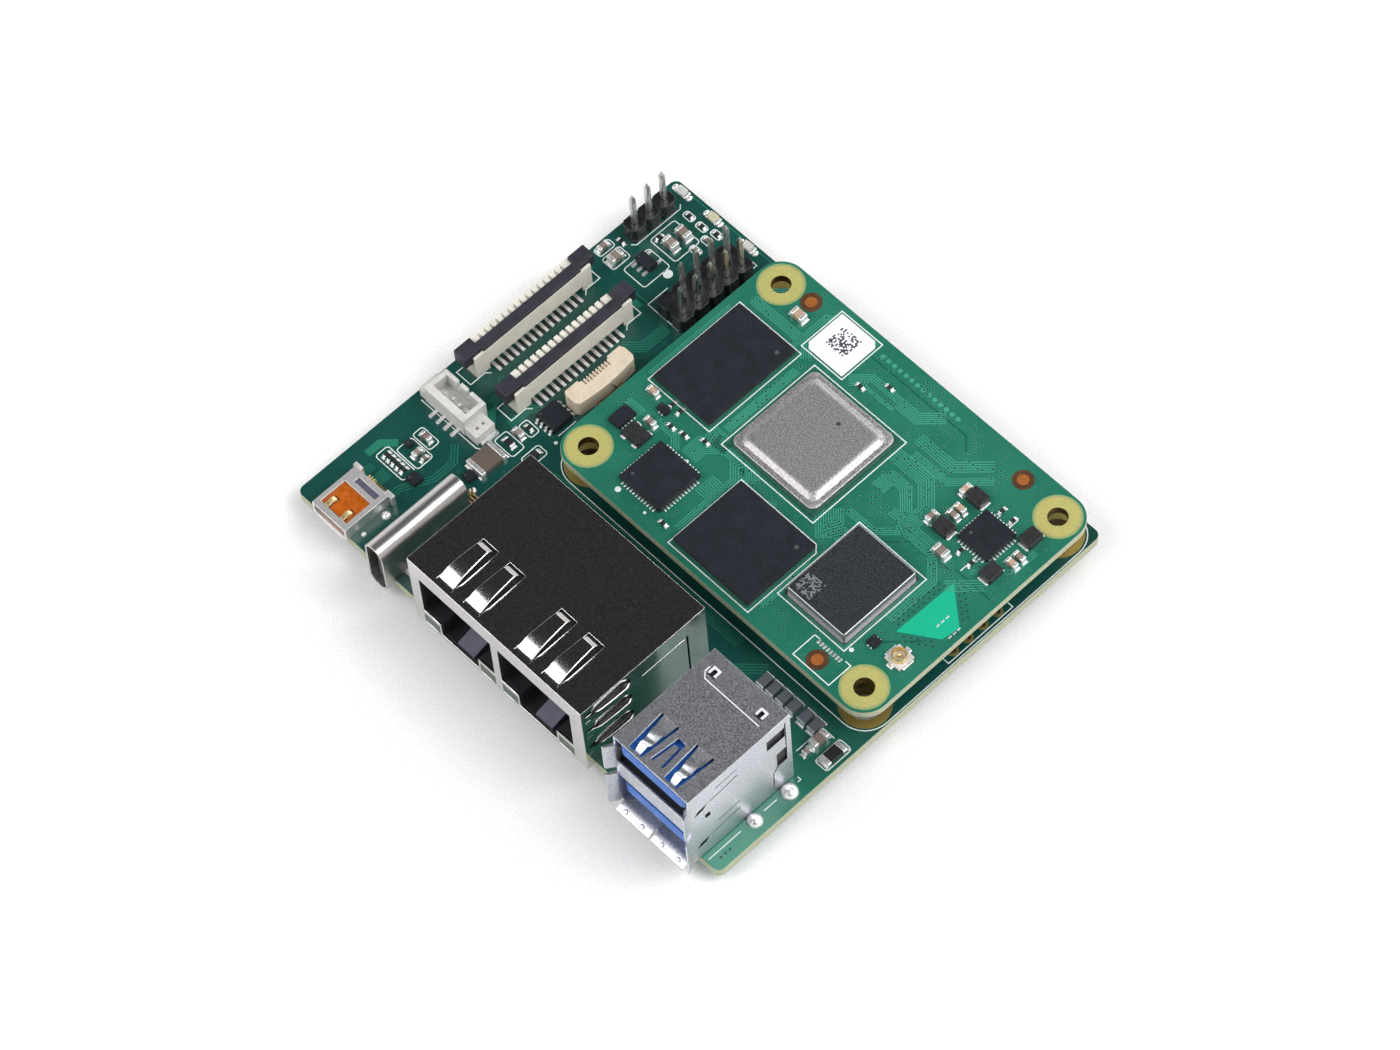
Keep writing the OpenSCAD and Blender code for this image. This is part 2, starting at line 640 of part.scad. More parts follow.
module fan_socket() {
    base = board_top + solder_gap;
    wing_top = 3.4;
    color("antiquewhite") place() difference() {
        union() {
            slab(fan_x, fan_y, [base, fan_top]);
            slab([fan_x[1], fan_x[1] + 2.2], [fan_y[0] + 0.1, fan_y[1] - 0.7], [base, wing_top]);
            slab([fan_x[0] - 1.1, fan_x[0]], [fan_y[0] + 0.1, fan_y[1] - 0.7], [base, wing_top]);
        }
        // open well for the plug
        slab([fan_x[0] + 0.7, fan_x[1] - 0.7], [fan_y[0] + 1.1, fan_y[1] - 0.55], [2.5, fan_top + 1]);
        // key slots in the wall
        for (x = [-33, -31.2])
            slab([x - 0.25, x + 0.25], [fan_y[1] - 1, fan_y[1] + 1], [3.4, fan_top + 1]);
        // slots in the wing
        for (y = [-11.3, -10.3])
            slab([fan_x[1] + 0.9, fan_x[1] + 1.3], [y - 0.2, y + 0.2], [2.6, wing_top + 1]);
        // grooves that the pins lie in
        for (x = fan_pins_x)
            slab([x - 0.27, x + 0.27], [fan_y[0] - 1, fan_y[0] + 1.9], [1, board_top + 0.3]);
        for (x = fan_pins_x)
            slab([x - 0.27, x + 0.27], [fan_y[0] + 1.38, fan_y[0] + 1.92], [1, 3]);
    }
}

module fan_pins() {
    color("silver") place() {
        for (x = fan_pins_x) {
            slab([x - 0.25, x + 0.25], [fan_y[0] - 1.3, fan_y[0] + 1.9], [board_top + solder_gap, board_top + 0.27]);
            slab([x - 0.25, x + 0.25], [fan_y[0] + 1.4, fan_y[0] + 1.9], [board_top + solder_gap, 4.4]);
        }
        // hold-down tabs at the ends of the wings
        for (x = [[fan_x[1] + 2.25, fan_x[1] + 2.8], [fan_x[0] - 1.6, fan_x[0] - 1.15]])
            slab(x, [fan_y[0] + 0.5, fan_y[1] - 0.7], [board_top + solder_gap, board_top + 0.5]);
    }
}

// ---- Small ribbon socket ----

rib_x = [-22.95, -19.9];
rib_y = [-0.75, 9.2];
rib_ways = 9;
rib_mid_y = (rib_y[0] + rib_y[1]) / 2;

module ribbon_socket() {
    top = board_top + 2.8;
    bow = 0.35;
    color("bisque") place() difference() {
        along_z([board_top + solder_gap, top], concat(
            [[rib_x[0], rib_y[0] + 0.3], [rib_x[0] + 0.6, rib_y[0]], [rib_x[1] - 0.9, rib_y[0]]],
            [for (i = [-4 : 4]) [rib_x[1] - 0.3 + bow * cos(i * 22.5), rib_mid_y + i * 1.15]],
            [[rib_x[1] - 0.9, rib_y[1]], [rib_x[0] + 0.6, rib_y[1]], [rib_x[0], rib_y[1] - 0.3]]
        ));
        // step in front of the row of teeth
        slab([rib_x[0] - 1, rib_x[0] + 0.35], [rib_mid_y - 2.5, rib_mid_y + 2.5], [top - 1.3, top + 1]);
        // slots between the teeth, where the contacts lie
        for (i = [-4 : 4])
            slab([rib_x[0] - 1, rib_x[0] + 1.2], [rib_mid_y + i * 0.5 - 0.13, rib_mid_y + i * 0.5 + 0.13],
                [top - 1.3, top + 1]);
        for (i = [-4 : 4])
            slab([rib_x[1] - 0.8, rib_x[1] + 1], [rib_mid_y + i * 0.5 - 0.13, rib_mid_y + i * 0.5 + 0.13], [1, 2.2]);
    }
}

module ribbon_contacts() {
    half_ways = (rib_ways - 1) / 2;
    color("gold") place() for (i = [-half_ways : half_ways]) translate([0, rib_mid_y + i * 0.5, 0]) {
        slab([rib_x[0] + 0.4, rib_x[0] + 1.15], [-0.11, 0.11], [board_top + 1.55, board_top + 2]);
        slab([rib_x[1] - 0.7, rib_x[1] + 0.6], [-0.11, 0.11], [board_top + solder_gap, board_top + 0.2]);
    }
}

// ---- Pin headers ----

// One plastic cell of a header, eight-sided seen from above
module header_cell() {
    c = 0.5;
    r = pin_pitch / 2;
    along_z([board_top + solder_gap, board_top + 2.54], [
        [-r, c - r], [c - r, -r], [r - c, -r], [r, c - r], [r, r - c], [r - c, r], [c - r, r], [-r, r - c]
    ]);
}

// Row of cells with square holes for the pins
module header_base(places) {
    difference() {
        for (p = places)
            translate([p[0], p[1], 0]) header_cell();
        prisms(places, [0, board_top + 4]);
    }
}

module short_header_base() {
    color("dimgray") place() header_base(short_pins);
}

module short_header_pins() {
    color("gold") place() prisms(short_pins, [-tail_drop, board_top + pin_h]);
}

module long_header_base() {
    color("dimgray") place() header_base(concat(long_pins, [[long_x - pin_pitch, long_y, 0.01, 0.01]]));
}

module long_header_pins() {
    color("gold") place() prisms(long_pins, [-tail_drop, board_top + pin_h]);
}

// ---- Memory card socket under the carrier ----

card_x = [-9, 5.5];
card_y = [17, 32];
card_h = 1.5;

module card_socket_base() {
    color("black") place() difference() {
        slab([card_x[0] + 0.25, card_x[1] - 0.25], [card_y[0] + 0.25, card_y[1]], [-card_h + 0.25, -solder_gap]);
        slab([card_x[0] + 1.5, card_x[1] - 1.5], [card_y[0] + 1.4, card_y[1] + 1], [-card_h, -0.45]);
    }
}

module card_socket_cover() {
    color("silver") place() difference() {
        slab(card_x, card_y, [-card_h, -solder_gap]);
        slab([card_x[0] + 0.2, card_x[1] - 0.2], [card_y[0] + 0.2, card_y[1] + 1], [-card_h + 0.2, 1]);
        slab([card_x[0] + 3.5, card_x[1] - 3.5], [card_y[1] - 1.6, card_y[1] + 1], [-card_h - 1, 1]);
    }
}

// ---- Board-to-board connectors ----

mate_y = [-hole_dy / 2, hole_dy / 2];
mate_w = 22.6;
mate_d = 3.4;

module board_receptacles() {
    color("black") place() on_module() for (y = mate_y) difference() {
        chip([0, y], [mate_w, mate_d, 1.5], board_top + solder_gap);
        chip([0, y], [mate_w - 1.6, mate_d - 1.1, 3], board_top + 0.4);
    }
}

module module_plugs() {
    color("black") place() on_module() for (y = mate_y) {
        chip([0, y], [mate_w, mate_d, stack_h - 1.6], board_top + 1.58);
        chip([0, y], [mate_w - 1.8, mate_d - 1.3, 1], board_top + 0.6);
    }
}

// ---- Small parts on the carrier ----

module status_lights() {
    color("ivory") place() for (x = [-35.3, -29.6, -23.3]) {
        chip([x, 31.4], [1.1, 1.1, 0.6], board_top + solder_gap);
        chip([x, 31.4], [2, 1.2, 0.3], board_top + solder_gap);
    }
}

module interface_chip() {
    color("black") place() chip([-22.2, -3], [3.4, 3.2, 1.1], board_top + 0.1);
}

// Small chip packages: place and size
regulator_list = [
    [[-30.75, 20.8], [2.7, 1.5, 1.05]], [[-28.1, -21.2], [1.8, 1.6, 0.7]], [[-23.5, -16.2], [1.5, 1.5, 0.7]],
    [[-32.4, -18.2], [1.1, 1, 0.6]]
];

module regulator_chips() {
    color("black") place() for (part = regulator_list) chip(part[0], part[1], board_top + 0.06);
}

module chip_leads() {
    color("silver") place() {
        // eight-lead package
        for (s = [-1, 1], i = [-1.5 : 1.5])
            along_x([-22.2 + i * 0.8 - 0.18, -22.2 + i * 0.8 + 0.18], [
                for (p = [[1.62, 0.65], [1.62, 0.5], [1.75, 0.45], [1.8, solder_gap], [2.2, solder_gap],
                    [2.2, 0.18], [2, 0.2], [1.95, 0.65]])
                    [-3 + s * p[0], board_top + p[1]]
            ]);
        // five-lead package
        for (x = [-31.7, -30.75, -29.8])
            slab([x - 0.2, x + 0.2], [19.15, 20.03], [board_top + solder_gap, board_top + 0.2]);
        for (x = [-31.7, -29.8])
            slab([x - 0.2, x + 0.2], [21.57, 22.4], [board_top + solder_gap, board_top + 0.2]);
    }
}

module power_fuse() {
    color("sienna") place() chip([-23.75, -13.1], [3, 4.2, 0.9], board_top + solder_gap);
}

module filter_chips() {
    color("dimgray") place() for (x = [23.1, 24.7, 26.4, 28.1, 30.1, 31.8])
        chip([x, -10.7], [1.25, 2, 0.9], board_top + solder_gap);
}

// Capacitors on the carrier: place and size
capacitor_list = [
    [[-30.5, 27], [2, 1.25, 1.1]], [[-30.5, 24.8], [2, 1.25, 1.1]], [[-36.4, 18.6], [0.8, 1.6, 0.8]],
    [[-34.1, 18.6], [1.25, 2, 1]], [[-23.8, -7.7], [1.6, 0.8, 0.8]], [[-31.6, -16.1], [1.6, 0.8, 0.8]],
    [[-30.7, -18.4], [0.8, 1.4, 0.7]], [[-29.5, -18.3], [0.5, 1, 0.5]], [[33.4, -11.8], [1.25, 2.4, 1.1]],
    [[33.4, -13.9], [0.8, 1, 0.6]], [[-27.7, 28.5], [1, 0.5, 0.5]], [[-27.7, 26.5], [1, 0.5, 0.5]]
];

// Resistors on the carrier: place and size
resistor_list = [
    [[-32, 29.5], [1, 0.5, 0.35]], [[-29.7, 29.5], [1, 0.5, 0.35]], [[-27.5, 30], [1, 0.5, 0.35]],
    [[-32.4, 24.6], [0.5, 1, 0.35]], [[-35.4, 20.8], [1, 0.5, 0.35]], [[-23.5, -6.2], [1, 0.5, 0.35]],
    [[-23.7, -9.4], [1.6, 0.8, 0.5]], [[-20.1, -8.4], [0.8, 1.6, 0.45]], [[-33.3, -21.2], [0.5, 1, 0.35]],
    [[-32.5, -21.2], [0.5, 1, 0.35]], [[-31.7, -21.2], [0.5, 1, 0.35]], [[-30.9, -21.2], [0.5, 1, 0.35]],
    [[-30.1, -21.2], [0.5, 1, 0.35]], [[35.9, -11.9], [1.6, 3.2, 0.6]]
];

module chip_capacitors() {
    color("peru") place() for (part = capacitor_list) chip(part[0], part[1], board_top + solder_gap);
}

module chip_resistors() {
    color("black") place() for (part = resistor_list) chip(part[0], part[1], board_top + solder_gap);
}

// ---- Compute module, places measured from its centre ----

module module_board() {
    color("seagreen") place() on_module() difference() {
        translate([0, 0, module_z]) round_plate(module_w, module_d, module_t, module_r);
        for (sx = [-1, 1], sy = [-1, 1])
            translate([sx * hole_dx / 2, sy * hole_dy / 2, module_z - 1])
                cylinder(d = module_hole_d, h = module_t + 2, $fn = 48);
    }
}

soc_at = [-4.55, 3.1];
soc_w = 15;
soc_base_h = 0.5;
soc_lid_h = 0.95;

module processor_base() {
    color("darkgreen") place() on_module() chip(soc_at, [soc_w, soc_w, soc_base_h], module_top + solder_gap);
}

module processor_lid() {
    lid = soc_w - 0.5;
    step = 1.2;
    base = module_top + soc_base_h + 2 * solder_gap;
    color("silver") place() on_module() {
        chip(soc_at, [lid, lid, soc_lid_h - 0.25], base);
        chip(soc_at, [lid - 2 * step, lid - 2 * step, soc_lid_h], base);
    }
}

module memory_chip() {
    color("black") place() on_module() chip([-20.35, 3.2], [10, 14.9, 0.85], module_top + 0.1);
}

module storage_chip() {
    color("black") place() on_module() chip([-0.2, -12.9], [13, 11.5, 0.95], module_top + 0.1);
}

radio_at = [13.1, -7.8];
radio_size = [10.4, 12.9, 1.7];

module radio_shield() {
    wall = 0.15;
    h = radio_size[2];
    color("silver") place() on_module() difference() {
        chip(radio_at, [radio_size[0] - 0.5, radio_size[1] - 0.5, h - 0.35], module_top + 0.35);
        chip(radio_at, [radio_size[0] - 0.5 - 2 * wall, radio_size[1] - 0.5 - 2 * wall, h - 0.35 - wall],
            module_top + 0.35 - wall / 2);
    }
}

module radio_frame() {
    color("lightgray") place() on_module() difference() {
        chip(radio_at, [radio_size[0], radio_size[1], 0.33], module_top + solder_gap);
        chip(radio_at, [radio_size[0] - 1.4, radio_size[1] - 1.4, 2], module_top - 1);
    }
}

module network_chip() {
    color("black") place() on_module() chip([-14.4, -13.5], [7, 7, 0.85], module_top + solder_gap);
}

module supply_chip() {
    color("black") place() on_module() chip([19.9, 8.4], [5, 5, 0.85], module_top + solder_gap);
}

inductor_list = [
    [[15.35, 11.4], [2.5, 2, 1]], [[15.35, 5.6], [2.5, 2, 1]], [[23.95, 11.9], [2, 2.5, 1]],
    [[23.85, 5.1], [2, 2.5, 1]]
];

module power_inductors() {
    color("dimgray") place() on_module() for (part = inductor_list) chip(part[0], part[1], module_top + solder_gap);
}

module clock_crystal() {
    color("silver") place() on_module() chip([-20.95, -11.3], [3.2, 2.4, 0.7], module_top + solder_gap);
}

switch_list = [[[-23.95, -10.8], [2, 3, 0.8]], [[-21.05, -6.5], [1.6, 1, 0.8]], [[20.55, -11.4], [1.4, 1.4, 0.6]]];

module switch_chips() {
    color("black") place() on_module() for (part = switch_list) chip(part[0], part[1], module_top + solder_gap);
}

aerial_at = [24.2, -10.8];

module aerial_socket_base() {
    color("ivory") place() on_module() difference() {
        chip(aerial_at, [2.6, 2.6, 0.35], module_top + solder_gap);
        translate([aerial_at[0], aerial_at[1], module_top - 1]) cylinder(r = 0.6, h = 3, $fn = 32);
    }
}

module aerial_socket_ring() {
    base = module_top + 0.35 + 2 * solder_gap;
    color("gold") place() on_module() translate([aerial_at[0], aerial_at[1], 0]) {
        difference() {
            translate([0, 0, base]) cylinder(r = 1, h = 0.85, $fn = 32);
            translate([0, 0, base - 1]) cylinder(r = 0.82, h = 3, $fn = 32);
        }
        translate([0, 0, module_top + solder_gap]) cylinder(r = 0.25, h = 1, $fn = 24);
    }
}

module_capacitor_list = [
    [[-19, 14.7], [2, 1.25, 0.9]], [[-20.95, -8.9], [1.6, 0.8, 0.8]], [[-23.9, -5.6], [1.6, 0.8, 0.8]],
    [[13.45, 11.3], [0.8, 1.6, 0.8]], [[14.9, 8.9], [1.6, 0.8, 0.8]], [[14.9, 7.7], [1.6, 0.8, 0.8]],
    [[13.15, 5.7], [0.8, 1.6, 0.8]], [[17.5, 3], [2, 1.25, 0.9]], [[24.75, 9.1], [1.6, 0.8, 0.8]],
    [[24.75, 7.8], [1.6, 0.8, 0.8]]
];

module_resistor_list = [
    [[-18.75, -7.5], [1, 0.5, 0.35]], [[-16.75, -7.2], [1, 0.5, 0.35]], [[-14.15, -6.1], [1, 0.5, 0.35]],
    [[-20.9, -5.2], [0.5, 1, 0.35]], [[-19.5, -5.2], [0.5, 1, 0.35]], [[-3.55, 15.2], [1, 0.5, 0.35]],
    [[-6.25, 12.8], [1, 0.5, 0.35]], [[18.65, 12.3], [0.5, 1, 0.35]], [[20.55, 12.2], [0.5, 1, 0.35]],
    [[21.15, 4.5], [0.5, 1, 0.35]], [[19, 4.9], [0.5, 1, 0.35]], [[-9.45, -17.7], [1, 0.5, 0.35]]
];

module module_capacitors() {
    color("peru") place() on_module()
        for (part = module_capacitor_list) chip(part[0], part[1], module_top + solder_gap);
}

module module_resistors() {
    color("black") place() on_module()
        for (part = module_resistor_list) chip(part[0], part[1], module_top + solder_gap);
}

module module_label() {
    color("white") place() on_module() chip([-12.2, 15.5], [6.5, 6.5, 0.08], module_top + solder_gap);
}

carrier_board();
ethernet_shield();
ethernet_housing();
ethernet_contacts();
ethernet_light_pipes();
ethernet_magnetics();
usb_shell();
usb_housing();
usb_tongues();
usb_contacts();
power_socket_shell();
power_socket_core();
power_socket_contacts();
display_socket_shell();
display_socket_core();
display_socket_contacts();
camera_cable_socket();
panel_cable_socket();
flat_cable_contacts();
camera_cable_latch();
panel_cable_latch();
fan_socket();
fan_pins();
ribbon_socket();
ribbon_contacts();
short_header_base();
short_header_pins();
long_header_base();
long_header_pins();
card_socket_base();
card_socket_cover();
board_receptacles();
status_lights();
interface_chip();
regulator_chips();
chip_leads();
power_fuse();
filter_chips();
chip_capacitors();
chip_resistors();
module_board();
module_plugs();
processor_base();
processor_lid();
memory_chip();
storage_chip();
radio_shield();
radio_frame();
network_chip();
supply_chip();
power_inductors();
clock_crystal();
switch_chips();
aerial_socket_base();
aerial_socket_ring();
module_capacitors();
module_resistors();
module_label();
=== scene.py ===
"""Looks of a single board computer: a compute module plugged onto a carrier board.

Sizes here are millimetres on the carrier's own frame: x and y from its centre, z up from its
underside, ports facing -y. place() turns them into the row frame's metres.
"""

import json
import math
import random

import bmesh
import bpy
from mathutils import Matrix, Vector


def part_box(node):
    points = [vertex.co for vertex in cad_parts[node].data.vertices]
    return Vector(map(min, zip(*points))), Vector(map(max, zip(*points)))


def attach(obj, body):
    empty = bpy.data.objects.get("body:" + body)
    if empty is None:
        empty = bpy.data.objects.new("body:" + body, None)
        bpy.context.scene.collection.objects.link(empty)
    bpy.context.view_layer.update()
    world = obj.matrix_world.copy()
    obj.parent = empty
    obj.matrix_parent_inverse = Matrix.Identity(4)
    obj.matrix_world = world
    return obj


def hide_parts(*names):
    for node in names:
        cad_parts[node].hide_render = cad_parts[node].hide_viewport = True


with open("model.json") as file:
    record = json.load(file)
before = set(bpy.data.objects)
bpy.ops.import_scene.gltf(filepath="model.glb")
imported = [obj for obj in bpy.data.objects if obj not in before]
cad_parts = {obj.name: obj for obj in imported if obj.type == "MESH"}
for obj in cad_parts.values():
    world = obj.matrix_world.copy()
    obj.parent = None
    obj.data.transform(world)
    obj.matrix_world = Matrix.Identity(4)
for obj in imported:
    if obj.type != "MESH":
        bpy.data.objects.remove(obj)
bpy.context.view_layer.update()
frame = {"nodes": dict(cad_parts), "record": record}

MM = 0.001
BOARD_LO, BOARD_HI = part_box("carrier_board")
ZERO = Vector(((BOARD_LO.x + BOARD_HI.x) / 2, (BOARD_LO.y + BOARD_HI.y) / 2, BOARD_LO.z))
dice = random.Random(11)


def place(p):
    """A point in carrier millimetres, in the row frame's metres."""
    return ZERO + Vector(p) * MM


def measure(node):
    """Low and high corners of a CAD node in carrier millimetres."""
    lo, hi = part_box(node)
    return (lo - ZERO) / MM, (hi - ZERO) / MM


BOARD_T = (BOARD_HI.z - BOARD_LO.z) / MM
HALF_W = (BOARD_HI.x - BOARD_LO.x) / MM / 2
HALF_D = (BOARD_HI.y - BOARD_LO.y) / MM / 2
MOD_LO, MOD_HI = measure("module_board")
MOD_MID = (MOD_LO + MOD_HI) / 2
MOD_TOP = MOD_HI.z
TAIL_Z = -ZERO.z / MM


def on_module(x, y):
    """A place measured from the module's centre, in carrier millimetres."""
    return MOD_MID.x + x, MOD_MID.y + y


# ---------------------------------------------------------------- materials

GLASS_PITCH = 0.42
PLY_PITCH = 0.4


class Paint:
    """A node material under construction: a Principled shader and what feeds it."""

    def __init__(self, name, colour, rough=0.5, metal=0.0, **sockets):
        self.material = bpy.data.materials.new(name)
        self.material.use_nodes = True
        self.tree = self.material.node_tree
        self.shader = self.tree.nodes["Principled BSDF"]
        self.shader.inputs["Base Color"].default_value = (*colour, 1)
        self.shader.inputs["Roughness"].default_value = rough
        self.shader.inputs["Metallic"].default_value = metal
        for key, value in sockets.items():
            self.shader.inputs[key.replace("_", " ")].default_value = value
        self.material.diffuse_color = (*colour, 1)
        self.place = self.add("ShaderNodeTexCoord").outputs["Object"]

    def add(self, kind, links=None, **values):
        node = self.tree.nodes.new(kind)
        for key, value in values.items():
            setattr(node, key, value)
        for key, value in (links or {}).items():
            socket = node.inputs[key]
            if isinstance(value, bpy.types.NodeSocket):
                self.tree.links.new(value, socket)
            else:
                socket.default_value = value
        return node

    def feed(self, key, value):
        self.tree.links.new(value, self.shader.inputs[key])

    def stretched(self, x, y, z):
        """Coordinates in cycles per metre along each axis."""
        return self.add("ShaderNodeMapping", {"Vector": self.place, "Scale": (x, y, z)}).outputs["Vector"]

    def noise(self, per_mm, detail=3.0, stretch=(1, 1, 1)):
        scale = [per_mm / MM * s for s in stretch]
        return self.add("ShaderNodeTexNoise", {"Vector": self.stretched(*scale), "Scale": 1.0,
                                               "Detail": detail}).outputs["Fac"]

    def ramp(self, value, stops):
        node = self.add("ShaderNodeValToRGB", {"Fac": value})
        ramp = node.color_ramp
        while len(ramp.elements) < len(stops):
            ramp.elements.new(0.5)
        for element, (at, colour) in zip(ramp.elements, stops):
            element.position = at
            element.color = (*colour, 1)
        return node.outputs["Color"]

    def remap(self, value, low, high, to_low, to_high):
        return self.add("ShaderNodeMapRange", {"Value": value, "From Min": low, "From Max": high,
                                               "To Min": to_low, "To Max": to_high}).outputs["Result"]

    def maths(self, operation, a, b=0.0):
        return self.add("ShaderNodeMath", {0: a, 1: b}, operation=operation).outputs["Value"]

    def mix(self, factor, a, b):
        node = self.add("ShaderNodeMix", data_type="RGBA")
        for key, kind, value in (("Factor", "VALUE", factor), ("A", "RGBA", a), ("B", "RGBA", b)):
            socket = next(s for s in node.inputs if s.name == key and s.type == kind)
            if isinstance(value, bpy.types.NodeSocket):
                self.tree.links.new(value, socket)
            else:
                socket.default_value = (*value, 1)
        return next(s for s in node.outputs if s.type == "RGBA")

    def bump(self, height, strength=0.3, distance_mm=0.05, under=None):
        links = {"Height": height, "Strength": strength, "Distance": distance_mm * MM}
        if under is not None:
            links["Normal"] = under
        normal = self.add("ShaderNodeBump", links).outputs["Normal"]
        self.tree.links.new(normal, self.shader.inputs["Normal"])
        return normal


def lighter(colour, by):
    return tuple(min(1.0, c * by) for c in colour)


def moulded(name, colour, rough, speck=0.25, grain=3.0, bump=0.25, gloss=0.5):
    """Moulded plastic: faint mottling, a fine sandy skin and uneven gloss."""
    p = Paint(name, colour, rough, Specular_IOR_Level=gloss)
    cloud = p.noise(0.5, 4)
    fine = p.noise(grain, 2)
    tint = p.ramp(cloud, [(0.3, lighter(colour, 1 - speck)), (0.7, lighter(colour, 1 + speck))])
    p.feed("Base Color", p.mix(p.remap(fine, 0.35, 0.75, 0.0, 0.35), tint, lighter(colour, 1.5)))
    p.feed("Roughness", p.remap(fine, 0.3, 0.7, rough - 0.1, rough + 0.12))
    p.bump(fine, bump, 0.02)
    return p.material


def plated(name, colour, rough=0.25, brush=(1, 1, 1), grain=6.0, bump=0.1, speck=0.12, stain=0.04,
           metal=1.0):
    """Plated sheet metal: a fine grain drawn out along one way, faint stains and uneven gloss."""
    p = Paint(name, colour, rough, metal)
    grains = p.noise(grain, 2, brush)
    cloud = p.noise(0.25, 3)
    low = p.ramp(cloud, [(0.3, lighter(colour, 1 - speck - stain)), (0.7, lighter(colour, 1 - speck))])
    p.feed("Base Color", p.mix(p.remap(grains, 0.35, 0.65, 0.0, 1.0), low, lighter(colour, 1 + speck)))
    p.feed("Roughness", p.remap(grains, 0.3, 0.7, max(0.02, rough - 0.04), rough + 0.05))
    p.bump(grains, bump, 0.01)
    return p.material


def solder_mask(name, deep, bright, corner=None):
    """Solder resist over glass cloth: weave under gloss, and copper areas a little brighter.

    corner is a place, the distances over which a painted sheen, a lighter colour standing for light falling
    on the board there, fades out round it, and that colour.
    """
    p = Paint(name, deep, 0.34)
    p.shader.inputs["Coat Weight"].default_value = 0.25
    p.shader.inputs["Coat Roughness"].default_value = 0.12
    cloud = p.noise(0.12, 5)
    fine = p.noise(5.0, 3)
    coords = p.stretched(1 / (GLASS_PITCH * MM), 1 / (GLASS_PITCH * MM), 0.0)
    weave = [p.add("ShaderNodeTexWave", {"Vector": coords, "Scale": 1.0, "Distortion": 0.6, "Detail": 1.0},
                   bands_direction=way).outputs["Fac"] for way in ("X", "Y")]
    cloth = p.maths("MULTIPLY", *weave)
    tone = p.mix(p.remap(cloud, 0.35, 0.7, 0.0, 0.55), deep, bright)
    tone = p.mix(p.remap(cloth, 0.2, 0.9, 0.0, 0.16), tone, lighter(bright, 1.25))
    # painted sheen: a lighter colour that fades out round one place, standing for light on the board there
    if corner:
        centre, near, far, colour = corner
        away = p.add("ShaderNodeVectorMath", {0: p.place, 1: place(centre)}, operation="DISTANCE")
        sheen_fade = p.remap(away.outputs["Value"], near * MM, far * MM, 0.85, 0.0)
        tone = p.mix(sheen_fade, tone, colour)
    p.feed("Base Color", tone)
    p.feed("Roughness", p.remap(fine, 0.3, 0.7, 0.26, 0.42))
    p.bump(cloth, 0.10, 0.02, p.bump(fine, 0.12, 0.015))
    return p.material


def laminate(name, colour):
    """Cut edge of glass and resin board, with its plies as fine level lines."""
    p = Paint(name, colour, 0.6)
    plies = p.add("ShaderNodeTexWave", {"Vector": p.stretched(0.0, 0.0, 1 / (PLY_PITCH * MM)), "Scale": 1.0,
                                        "Distortion": 1.4, "Detail": 3.0}, bands_direction="Z").outputs["Fac"]
    rough_cut = p.noise(7.0, 4, (1, 1, 0.4))
    tone = p.ramp(plies, [(0.2, lighter(colour, 0.72)), (0.8, lighter(colour, 1.15))])
    p.feed("Base Color", p.mix(p.remap(rough_cut, 0.4, 0.75, 0.0, 0.4), tone, (0.62, 0.66, 0.46)))
    p.bump(rough_cut, 0.5, 0.05)
    return p.material


def ink(name, colour, rough=0.6):
    """Printed ink: a little uneven in tone, with a dry surface."""
    p = Paint(name, colour, rough)
    wear = p.noise(6.0, 3)
    p.feed("Base Color", p.ramp(wear, [(0.25, lighter(colour, 0.72)), (0.5, colour)]))
    p.bump(wear, 0.2, 0.01)
    return p.material


def ceramic(name, colour, band=0.3):
    """Fired chip ceramic: grainy, with darker layers and a satin skin."""
    p = Paint(name, colour, 0.42)
    grain = p.noise(5.0, 4)
    speckle = p.noise(14.0, 2)
    tone = p.ramp(grain, [(0.3, lighter(colour, 1 - band)), (0.7, lighter(colour, 1 + band))])
    p.feed("Base Color", p.mix(p.remap(speckle, 0.5, 0.8, 0.0, 0.5), tone, lighter(colour, 0.5)))
    p.feed("Roughness", p.remap(speckle, 0.3, 0.7, 0.34, 0.55))
    p.bump(speckle, 0.3, 0.02)
    return p.material


def lamp(name, colour):
    """Clear cast resin of a light, cloudy inside."""
    p = Paint(name, colour, 0.22, Transmission_Weight=0.35, IOR=1.5)
    cloud = p.noise(2.5, 3)
    p.feed("Base Color", p.ramp(cloud, [(0.3, lighter(colour, 0.8)), (0.7, colour)]))
    p.bump(cloud, 0.15, 0.03)
    return p.material


def molten(name, colour=(0.93, 0.93, 0.92), rough=0.28):
    """Solder: bright and smooth, with dull frosting in places."""
    p = Paint(name, colour, rough, 0.75)
    frost = p.noise(1.2, 2)
    p.feed("Base Color", p.ramp(frost, [(0.3, lighter(colour, 0.88)), (0.65, colour)]))
    p.feed("Roughness", p.remap(frost, 0.35, 0.65, rough - 0.05, rough + 0.1))
    p.bump(frost, 0.06, 0.03)
    return p.material


# the carrier's mask is painted lighter round its +x corner by the ports: a painted sheen
MASK = solder_mask("carrier_mask", (0.002, 0.052, 0.043), (0.005, 0.084, 0.066),
                   ((HALF_W, -HALF_D - 2, 2), 6, 30, (0.03, 0.235, 0.15)))
MODULE_MASK = solder_mask("module_mask", (0.008, 0.126, 0.083), (0.026, 0.2, 0.13))
COPPER_UNDER = solder_mask("carrier_copper_under_mask", (0.012, 0.15, 0.10), (0.022, 0.19, 0.13))
MODULE_COPPER = solder_mask("module_copper_under_mask", (0.04, 0.27, 0.19), (0.06, 0.33, 0.235))
MODULE_GAP = solder_mask("module_clearance", (0.005, 0.085, 0.065), (0.008, 0.1, 0.075))
CLEAR_PCB = solder_mask("bare_aerial_area", (0.006, 0.38, 0.22), (0.012, 0.47, 0.28))
EDGE = laminate("board_edge", (0.38, 0.39, 0.26))
